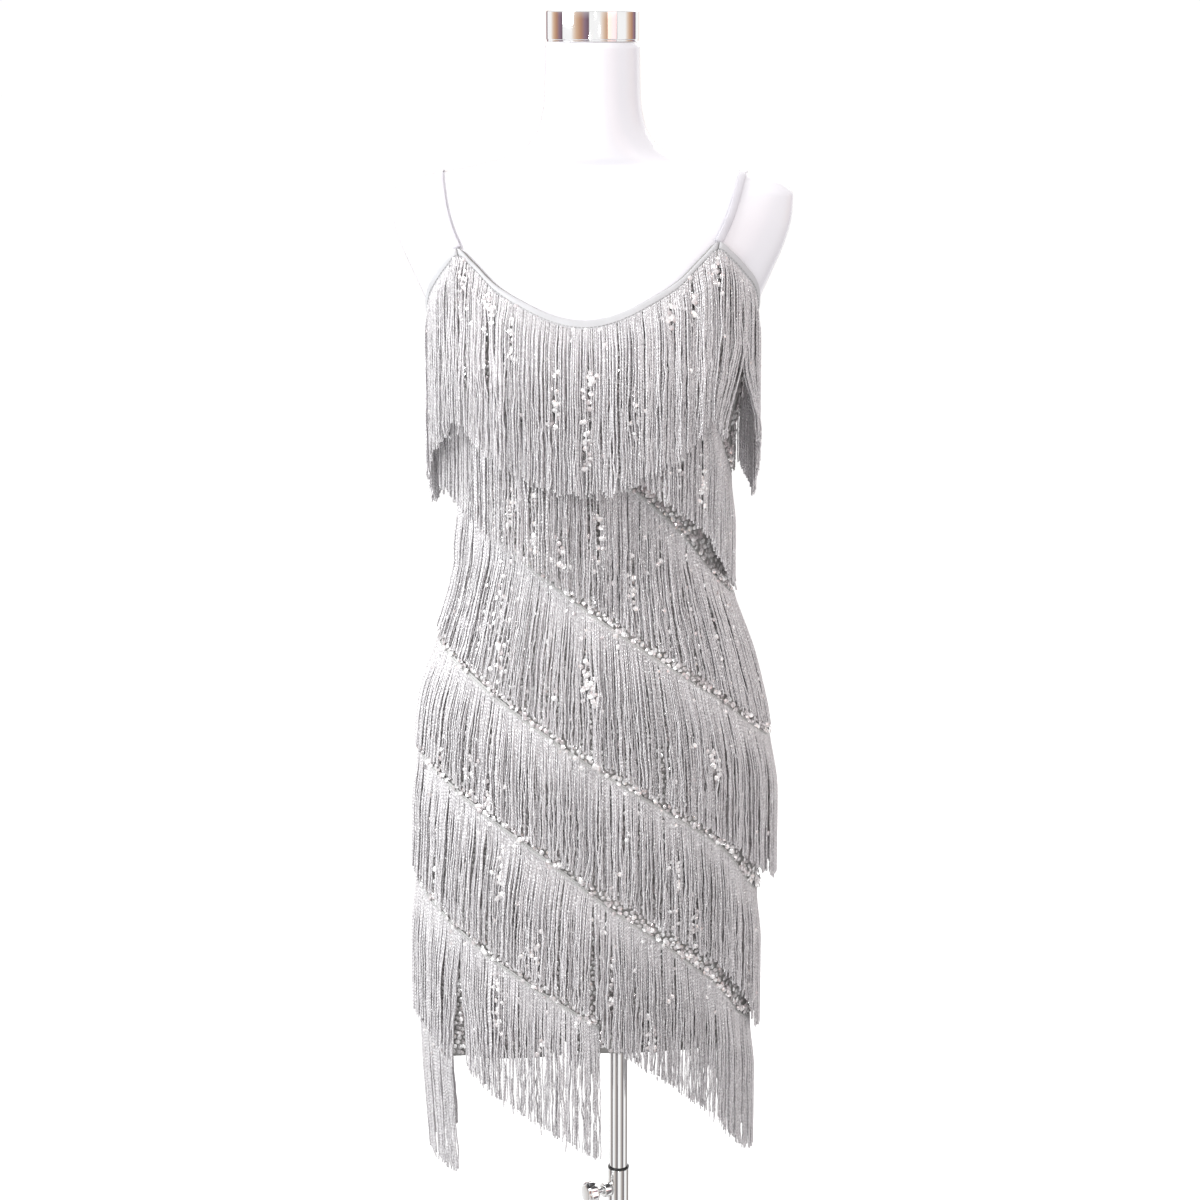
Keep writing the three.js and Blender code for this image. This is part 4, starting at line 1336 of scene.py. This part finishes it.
def build_strands(label, line, room, start, end, length, swing, side_swing, reach, seed):
    rng = np.random.default_rng(seed)
    turns = spaced(line, start, end, STRAND_PITCH)
    turns = (turns[:-1] + turns[1:]) / 2
    count = len(turns)
    aside, per_radian = along_cloth(turns, line(turns))
    span = float(np.sum(np.diff(turns) * per_radian[1:]))
    turns = turns + rng.normal(0, ROOT_UNEVEN, count) / per_radian
    root = line(turns) + TAPE_HEIGHT * ROOT_UP
    hang = hang_of(rng, label, turns, length, room(turns))
    share = np.linspace(0, 1, STRAND_STEPS)
    drop = share[None, :] * hang[:, None]
    layer = (rng.random(count) - 0.5) * LAYERS
    rise = swung_out(turns, swing, side_swing) * MM
    outwards = np.maximum(rise + layer, 0)[:, None] * smoothstep(drop / (reach * MM))
    out = LAY_ON + STRAND_THICK / 2 + outwards
    shift = slits(rng, label, turns, drop, per_radian, span)
    shift = (shift + rng.normal(0, END_UNEVEN, count)[:, None] * share) / per_radian[:, None]
    parts_at = PARTING_FROM.get(label, 0)
    low = smoothstep((share - parts_at) / (1 - parts_at))
    shift = shift + parted(label, turns)[:, None] * low[None, :]
    points = hung(turns[:, None] + shift, root[:, None], root[:, None] - drop, out)
    drawn = 1 - DRAWN_IN.get(label, 0) * share[None, :]
    points[..., 0] = FIGURE_X + (points[..., 0] - FIGURE_X) * drawn
    first = np.arange(count)[:, None] * STRAND_STEPS + np.arange(STRAND_STEPS - 1)[None, :]
    edges = np.stack([first, first + 1], -1).reshape(-1, 2)
    tint = np.repeat(np.clip(rng.normal(TINT, TINT_UNEVEN, count), 0.02, 0.98), STRAND_STEPS)
    source = point_cloud(
        label + "_lines", points.reshape(-1, 3), edges, tint=tint,
        drop=np.tile(smoothstep(share * SWAY_GROWS), count), aside=np.repeat(aside, STRAND_STEPS, axis=0),
    )
    made = grow(label + "_strands", source, STRANDS, STRAND, {
        "Thickness": STRAND_THICK, "Sides": 4, "Clump": 4.5 * MM, "Sway": 4.4 * MM,
        "Crinkle": 4.6 * MM,
    })
    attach(made, "form")
    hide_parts("fringe_" + label)
    print(f"{made.name}: {count} strands, {triangles(made)} triangles")
    return made


def caught_spots(label, line, start, end, length, swing, side_swing, reach, rng):
    """Places and normals of sequins that a row's strands have drawn out with them."""
    turns, drops = [], []
    for turn, down, tall in GLINTS.get(label, []):
        per_radian = along_cloth(math.radians(turn), line(math.radians(turn)))[1]
        turns.append(math.radians(turn) + rng.normal(0, 3 * MM, CAUGHT) / per_radian)
        drops.append(rng.normal(down, tall * 0.6, CAUGHT))
    scattered = int(SCATTERED * (end - start))
    least, most = 8, 0.85 * length
    turns = np.concatenate([*turns, rng.uniform(start, end, scattered)])
    drops = np.concatenate([*drops, rng.uniform(least, most, scattered)]).clip(least, most)
    over_cloth = line(turns) - drops * MM > hem(turns) + 6 * MM
    turns, drops = turns[over_cloth], drops[over_cloth]
    rise = swung_out(turns, swing, side_swing) + rng.uniform(-0.4, 1.5, len(turns))
    out = LAY_ON + STRAND_THICK / 2 + rise * MM * smoothstep(drops / reach)
    root = line(turns)
    return hung(turns, root, root - drops * MM, out), way_out(turns, root - drops * MM)


def edging_spots(line, start, end, rng):
    """Places and normals of sequins that lie over a row's tape, where strands end above it."""
    turns = rng.uniform(start, end, int(EDGING * (end - start)))
    heights = line(turns) + TAPE_HEIGHT / 2 + rng.uniform(-1, 8.5, len(turns)) * MM
    out = LAY_ON + rng.uniform(0.5, 4, len(turns)) * MM
    normals = way_out(turns, heights) + rng.normal(0, 0.3, (len(turns), 3)) + UPWARDS
    return on_cloth(turns, heights, out), normals / np.linalg.norm(normals, axis=1, keepdims=True)


print("strands ready")


# %% All rows of fringe
def room_above(line, row):
    """Length down to the next row's tape, or no limit where that row has ended."""
    if row >= len(ROWS) or ROWS[row][0] == "hem":
        return lambda turns: np.full(np.shape(turns), np.inf)
    next_line = slanting(ROWS[row][1])
    first, last = (math.radians(v) for v in ROWS[row][2:4])

    def room(turns):
        there = np.abs(between((first + last) / 2, turns)) <= (last - first) / 2
        return np.where(there, line(turns) - next_line(turns) - TAPE_HEIGHT - ENDS_CLEAR, np.inf)

    return room


def strand_line(turns):
    """The yoke's strands start at the binding's lower edge and hide their own tape."""
    return top_edge(turns) - BINDING_HEIGHT


CAUGHT, SCATTERED = 16, 13  # sequins in each glint, and others in each radian of a row
EDGING = 42  # sequins over each radian of a tape
UPWARDS = np.array([0, 0, 0.35])  # they lean back on the tape, so they face up a little
catch = np.random.default_rng(77)
tapes = [build_tape("yoke_tape", yoke_line, -math.pi, math.pi)]
yoke_sizes = YOKE_LENGTH, YOKE_SWING, YOKE_SIDE_SWING, YOKE_REACH
whole = -math.pi, math.pi
build_strands("yoke", strand_line, room_above(None, len(ROWS)), *whole, *yoke_sizes, 100)
caught = [caught_spots("yoke", strand_line, *whole, *yoke_sizes, catch)]
sewing = []
for row, (label, heights, first, last, *sizes) in enumerate(ROWS):
    line = slanting(heights)
    ends = math.radians(first), math.radians(last)
    tapes.append(build_tape(label + "_tape", line, *ends))
    upper = slanting(np.array(heights) + 2.6)
    sewing.append(sew(label + "_sewing", upper, *ends, LAY_ON + TAPE_THICK + 0.1 * MM, "fringe"))
    build_strands(label, line, room_above(line, row + 1), *ends, *sizes, TIER_REACH, 101 + row)
    caught.append(caught_spots(label, line, *ends, *sizes, TIER_REACH, catch))
    caught.append(edging_spots(line, *ends, catch))
caught_places, caught_normals = (np.concatenate(part) for part in zip(*caught))
put_sequins("caught_sequins", caught_places, caught_normals, catch, seed=13)

# %% [markdown]
# ## Binding and straps
#
# A satin strip folds over the raw edge all round and runs on over each shoulder as a strap. Both
# are strips with a soft crown. A row of short stitches lies along the binding's lower edge.


# %% Binding
BINDING_THICK = 1.2 * MM
BINDING_STEP = 3 * MM
BINDING_APART = 0.004  # half of the gap under a strap, in radians


def build_binding(name, node, start, end):
    turns = spaced(top_edge, start, end, BINDING_STEP)
    edge = top_edge(turns)[:, None]
    levels = np.array([-1.0, -0.9, -0.55, -0.2, 0.02, 0.1]) * BINDING_HEIGHT
    crown = np.array([0.3, 0.8, 1.0, 1.0, 0.8, 0.3]) * BINDING_THICK
    made = build_wall(
        name, turns[:, None], edge + levels, LAY_ON + crown, LAY_ON, (0, edge), SATIN,
    )
    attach(made, "form")
    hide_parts(node)
    print(f"{name}: {triangles(made)} triangles")
    return made


left_front, left_back = strap_turns(1)
right_front, right_back = strap_turns(-1)
bindings = [
    build_binding(name, node, start + BINDING_APART, end - BINDING_APART)
    for name, node, start, end in [
        ("neck_binding_front", "binding_neck_front", right_front, left_front),
        ("armhole_binding_left", "binding_armhole_left", left_front, left_back),
        ("neck_binding_back", "binding_neck_back", left_back, math.tau + right_back),
        ("armhole_binding_right", "binding_armhole_right", right_back, right_front),
    ]
]


# %% Sewing along the binding
def sewn_edge(turns):
    return top_edge(turns) - BINDING_HEIGHT * 0.72


binding_sewing = sew(
    "binding_sewing", sewn_edge, -math.pi, math.pi, LAY_ON + 1.35 * MM, "binding",
)
print(f"{binding_sewing.name}: {triangles(binding_sewing)} triangles")

# %% Straps
STRAP_WIDTH, STRAP_THICK = 8 * MM, 1.6 * MM
STRAP_CLEAR, STRAP_LIFT, STRAP_SETTLE = 1.3 * MM, 1.2 * MM, 0.15
STRAP_TOP_X = 155 * MM  # how far out the strap's middle bows
STRAP_HUB_Z = 1312 * MM  # the strap's points lie round this height
STRAP_STEPS = 72


def oval_level(place):
    """Under 1 inside the form, 1 on its skin and over 1 outside, above the bust."""
    x, y, z = place
    half = read(HEIGHT, HALF, z)
    depth = read(HEIGHT, FRONT if y < 0 else BACK, z)
    return (x / half) ** 2 + (y / depth) ** 2


def skin_along(hub, ray):
    """Where a ray from inside the form meets its skin, and the way out there."""
    REACH, HALVINGS = 0.15, 40
    near, far = 0.0, REACH
    for _ in range(HALVINGS):
        middle = (near + far) / 2
        if oval_level(hub + ray * middle) < 1:
            near = middle
        else:
            far = middle
    place = hub + ray * near
    steps = np.eye(3) * 0.5 * MM
    out = np.array([oval_level(place + s) - oval_level(place - s) for s in steps])
    return place, out / np.linalg.norm(out)


def strap_path(sign):
    """Middle points of a strap, as on the wearer's left, and the way out of the skin there."""
    ends = []
    for turn in strap_turns(sign):
        end = on_cloth(turn, float(top_edge(turn)) + STRAP_CLEAR) - [FIGURE_X, 0, 0]
        ends.append(end * [sign, 1, 1])
    angles = [math.atan2(p[2] - STRAP_HUB_Z, p[1]) for p in ends]
    places, outs = [], []
    for t in np.linspace(0, 1, STRAP_STEPS):
        angle = angles[0] + (angles[1] - angles[0]) * t
        bow = (STRAP_TOP_X - (ends[0][0] + ends[1][0]) / 2) * math.sin(math.pi * t)
        x = ends[0][0] + (ends[1][0] - ends[0][0]) * t + bow
        ray = np.array([0, math.cos(angle), math.sin(angle)])
        place, out = skin_along(np.array([x, 0, STRAP_HUB_Z]), ray)
        settle = float(smoothstep(min(t, 1 - t) / STRAP_SETTLE))
        lift = CLOTH_EASE - CLOTH_WALL + (STRAP_LIFT - CLOTH_EASE + CLOTH_WALL) * settle
        places.append(place + out * lift)
        outs.append(out)
    return np.array(places), np.array(outs)


def build_strap(name, node, sign):
    places, outs = strap_path(sign)
    along = np.gradient(places, axis=0)
    along /= np.linalg.norm(along, axis=1, keepdims=True)
    up = outs - along * (outs * along).sum(1, keepdims=True)
    up /= np.linalg.norm(up, axis=1, keepdims=True)
    across = np.cross(along, up)
    section = np.array([
        (0.5, 0.15), (0.5, 0.75), (0.42, 0.98), (0.0, 1.0), (-0.42, 0.98), (-0.5, 0.75),
        (-0.5, 0.15), (-0.42, 0.0), (0.42, 0.0),
    ]) * (STRAP_WIDTH, STRAP_THICK)
    points = places[:, None] + across[:, None] * section[:, :1] + up[:, None] * section[:, 1:]
    points[..., 0] *= sign
    points[..., 0] += FIGURE_X
    count, sides = points.shape[:2]
    faces = []
    for i in range(count - 1):
        for k in range(sides):
            after = (k + 1) % sides
            quad = [i * sides + k, i * sides + after, (i + 1) * sides + after, (i + 1) * sides + k]
            faces.append(quad if sign > 0 else quad[::-1])
    ends = [list(range(sides))[::-1], [(count - 1) * sides + k for k in range(sides)]]
    faces += ends if sign > 0 else [face[::-1] for face in ends]
    made = make_object(name, points, faces, LIT_STRAP)
    run = np.concatenate([[0], np.cumsum(np.linalg.norm(np.diff(places, axis=0), axis=1))])
    round_it = np.cumsum(np.linalg.norm(np.diff(section, axis=0, prepend=section[:1]), axis=1))
    flat = np.stack(np.broadcast_arrays(round_it[None, :], run[:, None]), -1).reshape(-1, 2)
    add_uv(made, flat)
    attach(made, "form")
    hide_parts(node)
    print(f"{name}: {run[-1]:.3f} m long, {triangles(made)} triangles")
    return made


build_strap("left_strap", "strap_left", 1)
build_strap("right_strap", "strap_right", -1)

# %% [markdown]
# ## Cloth
#
# Two pieces of the dress are cut from cloth: the front and the back.

# %% [markdown]
# ## Surroundings
#
# Chrome shows only what is around it, so plain white surroundings would leave it white. A studio
# hangs dark cloths beside the set for this. Here one group of nodes does it, for the world and
# for the floor: what is seen straight is plain, and what is seen in a reflection has a few
# upright bands, white with warm brown and grey between.


# %% Bands that only reflections see
def build_band_group():
    tree, ins, outs = new_group(
        "bands", "ShaderNodeTree",
        [("Direction", VECTOR, (0, 0, 0)), ("Warmth", FLOAT, 1.0)], [("Color", COLOR)],
    )
    BANDS_ROUND, OFFSET = 5.0, 0.439
    axes = add_node(tree, "ShaderNodeSeparateXYZ", {0: ins["Direction"]}).outputs
    round_it = maths(tree, "ARCTAN2", axes["X"], axes["Y"])
    turns = maths(tree, "MULTIPLY_ADD", round_it, BANDS_ROUND / math.tau, OFFSET)
    ramp = add_node(tree, "ShaderNodeValToRGB", {"Fac": maths(tree, "FRACT", turns)})
    stops = ramp.color_ramp.elements
    stops[0].position, stops[0].color = 0.04, grey(1.0)
    stops[1].position, stops[1].color = 0.7, grey(1.0)
    for position, colour in [
        (0.07, (0.17, 0.1, 0.14, 1)), (0.2, (0.3, 0.19, 0.25, 1)), (0.34, (0.5, 0.26, 0.16, 1)),
        (0.5, (0.72, 0.47, 0.31, 1)), (0.6, (0.86, 0.7, 0.58, 1)),
    ]:
        stops.new(position).color = colour
    plain = add_node(tree, "ShaderNodeRGBToBW", {0: ramp.outputs["Color"]}).outputs[0]
    cool = add_node(tree, "ShaderNodeCombineColor", {0: plain, 1: plain, 2: plain})
    bands = mixed(tree, ins["Warmth"], cool.outputs[0], ramp.outputs["Color"])
    level = vector_maths(tree, "NORMALIZE", ins["Direction"])
    height = add_node(tree, "ShaderNodeSeparateXYZ", {0: level})
    above = add_node(tree, "ShaderNodeMapRange", {
        "Value": height.outputs["Z"], "From Min": 0.08, "From Max": 0.3,
    })
    tree.links.new(mixed(tree, above.outputs[0], bands, grey(0.86)), outs.inputs["Color"])
    return tree


BANDS = build_band_group()
print("group:", BANDS.name)


# %% World
WORLD_LIGHT = 1.03
REFLECTED_LIGHT = 1.1


def seen_by(rays, tree, plain, colour, strength, emitter):
    """Mixes a plain shader with a glowing colour that only one kind of ray meets."""
    glow = add_node(tree, emitter, {"Color": colour, "Strength": strength})
    ray = add_node(tree, "ShaderNodeLightPath")
    mix = add_node(tree, "ShaderNodeMixShader", {
        0: ray.outputs[rays], 1: plain, 2: glow.outputs[0],
    })
    return mix.outputs[0]


def build_world():
    world = bpy.data.worlds.new("studio")
    world.use_nodes = True
    tree = world.node_tree
    plain = tree.nodes["Background"]
    plain.inputs["Color"].default_value = (1, 0.99, 0.985, 1)
    plain.inputs["Strength"].default_value = WORLD_LIGHT
    direction = add_node(tree, "ShaderNodeTexCoord").outputs["Generated"]
    bands = use_group(tree, BANDS, {"Direction": direction, "Warmth": 0.9})
    whole = seen_by(
        "Is Glossy Ray", tree, plain.outputs[0], bands.outputs["Color"], REFLECTED_LIGHT,
        "ShaderNodeBackground",
    )
    tree.links.new(whole, tree.nodes["World Output"].inputs["Surface"])
    bpy.context.scene.world = world


build_world()
print("world ready")

# %% [markdown]
# ## Floor and light
#
# A wide pale floor in the world's white leaves no horizon. A large soft light stands on the
# left, so that the right side falls into a slightly warmer shade. A weak one fills it, and one
# behind lights the back. Soft light alone leaves sequins dull, so a few small weak lamps stand
# there only to make them glint.


# %% Studio
BOUNCE_WHITE, BOUNCE_LIGHT = (0.96, 0.98, 1, 1), 0.75  # what the floor throws back up


def build_floor():
    SIZE = 60.0
    points = [(-SIZE, -SIZE, 0), (SIZE, -SIZE, 0), (SIZE, SIZE, 0), (-SIZE, SIZE, 0)]
    made, tree, shader = new_material(
        "floor", Roughness=0.9, Specular_IOR_Level=0.0, Emission_Color=grey(1.0),
        Emission_Strength=0.06,
    )
    tree.links.new(toned(tree, grey(0.95), grey(0.91), 0.7, 1.2), shader.inputs["Base Color"])
    place = add_node(tree, "ShaderNodeTexCoord").outputs["Object"]
    distance = add_node(tree, "ShaderNodeVectorMath", {0: place}, operation="LENGTH")
    warmth = add_node(tree, "ShaderNodeMapRange", {
        "Value": distance.outputs["Value"], "From Min": 4.0, "From Max": 9.0,
        "To Min": 0.15, "To Max": 0.9,
    })
    bands = use_group(tree, BANDS, {"Direction": place, "Warmth": warmth.outputs[0]})
    whole = seen_by(
        "Is Glossy Ray", tree, shader.outputs[0], bands.outputs["Color"], REFLECTED_LIGHT,
        "ShaderNodeEmission",
    )
    whole = seen_by("Is Diffuse Ray", tree, whole, BOUNCE_WHITE, BOUNCE_LIGHT, "ShaderNodeEmission")
    tree.links.new(whole, tree.nodes["Material Output"].inputs["Surface"])
    floor = make_object("floor", points, [(0, 1, 2, 3)], made, smooth=())


def add_light(name, place, aim, size, watts, colour=(1, 1, 1)):
    light = bpy.data.lights.new(name, "AREA")
    light.shape = "RECTANGLE"
    light.size, light.size_y = size
    light.energy = watts
    light.color = colour
    made = bpy.data.objects.new(name, light)
    made.location = place
    towards = np.array(aim) - np.array(place)
    from_level = math.atan2(towards[2], math.hypot(towards[0], towards[1]))
    made.rotation_euler = (math.pi / 2 + from_level, 0, math.atan2(-towards[0], towards[1]))
    bpy.context.scene.collection.objects.link(made)


build_floor()
add_light("key", (-2.2, -1.08, 2.25), (0, 0, 1.4), (1.3, 1.3), 73, (0.965, 0.995, 1))
add_light("fill", (2.6, -2.2, 1.8), (0, 0, 1.1), (1.5, 2.0), 11, (1, 0.76, 0.72))
add_light("back", (0.6, 2.6, 2.6), (0, 0, 1.0), (2.0, 1.6), 22)
GLINT_SIZE, GLINT_WATTS = (0.09, 0.09), 2.6
for number, (x, y, z) in enumerate([
    (0.3, -2.7, 1.9), (-0.35, -2.7, 1.3), (-0.2, -2.6, 2.3), (0.75, -2.6, 1.5), (0.2, 2.7, 1.9),
]):
    add_light(f"glint_{number + 1}", (x, y, z), (0, 0, 1.0), GLINT_SIZE, GLINT_WATTS)
bpy.context.scene.view_settings.view_transform = "Standard"
print("studio ready")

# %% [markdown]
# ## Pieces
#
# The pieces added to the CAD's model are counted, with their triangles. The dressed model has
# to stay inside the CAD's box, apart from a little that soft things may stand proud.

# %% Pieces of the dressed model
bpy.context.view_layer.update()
added = [
    made for made in bpy.data.objects
    if made.type == "MESH" and made.name not in frame["nodes"] and made.name != "floor"
]
print(f"{len(added)} pieces, {sum(triangles(made) for made in added)} triangles")
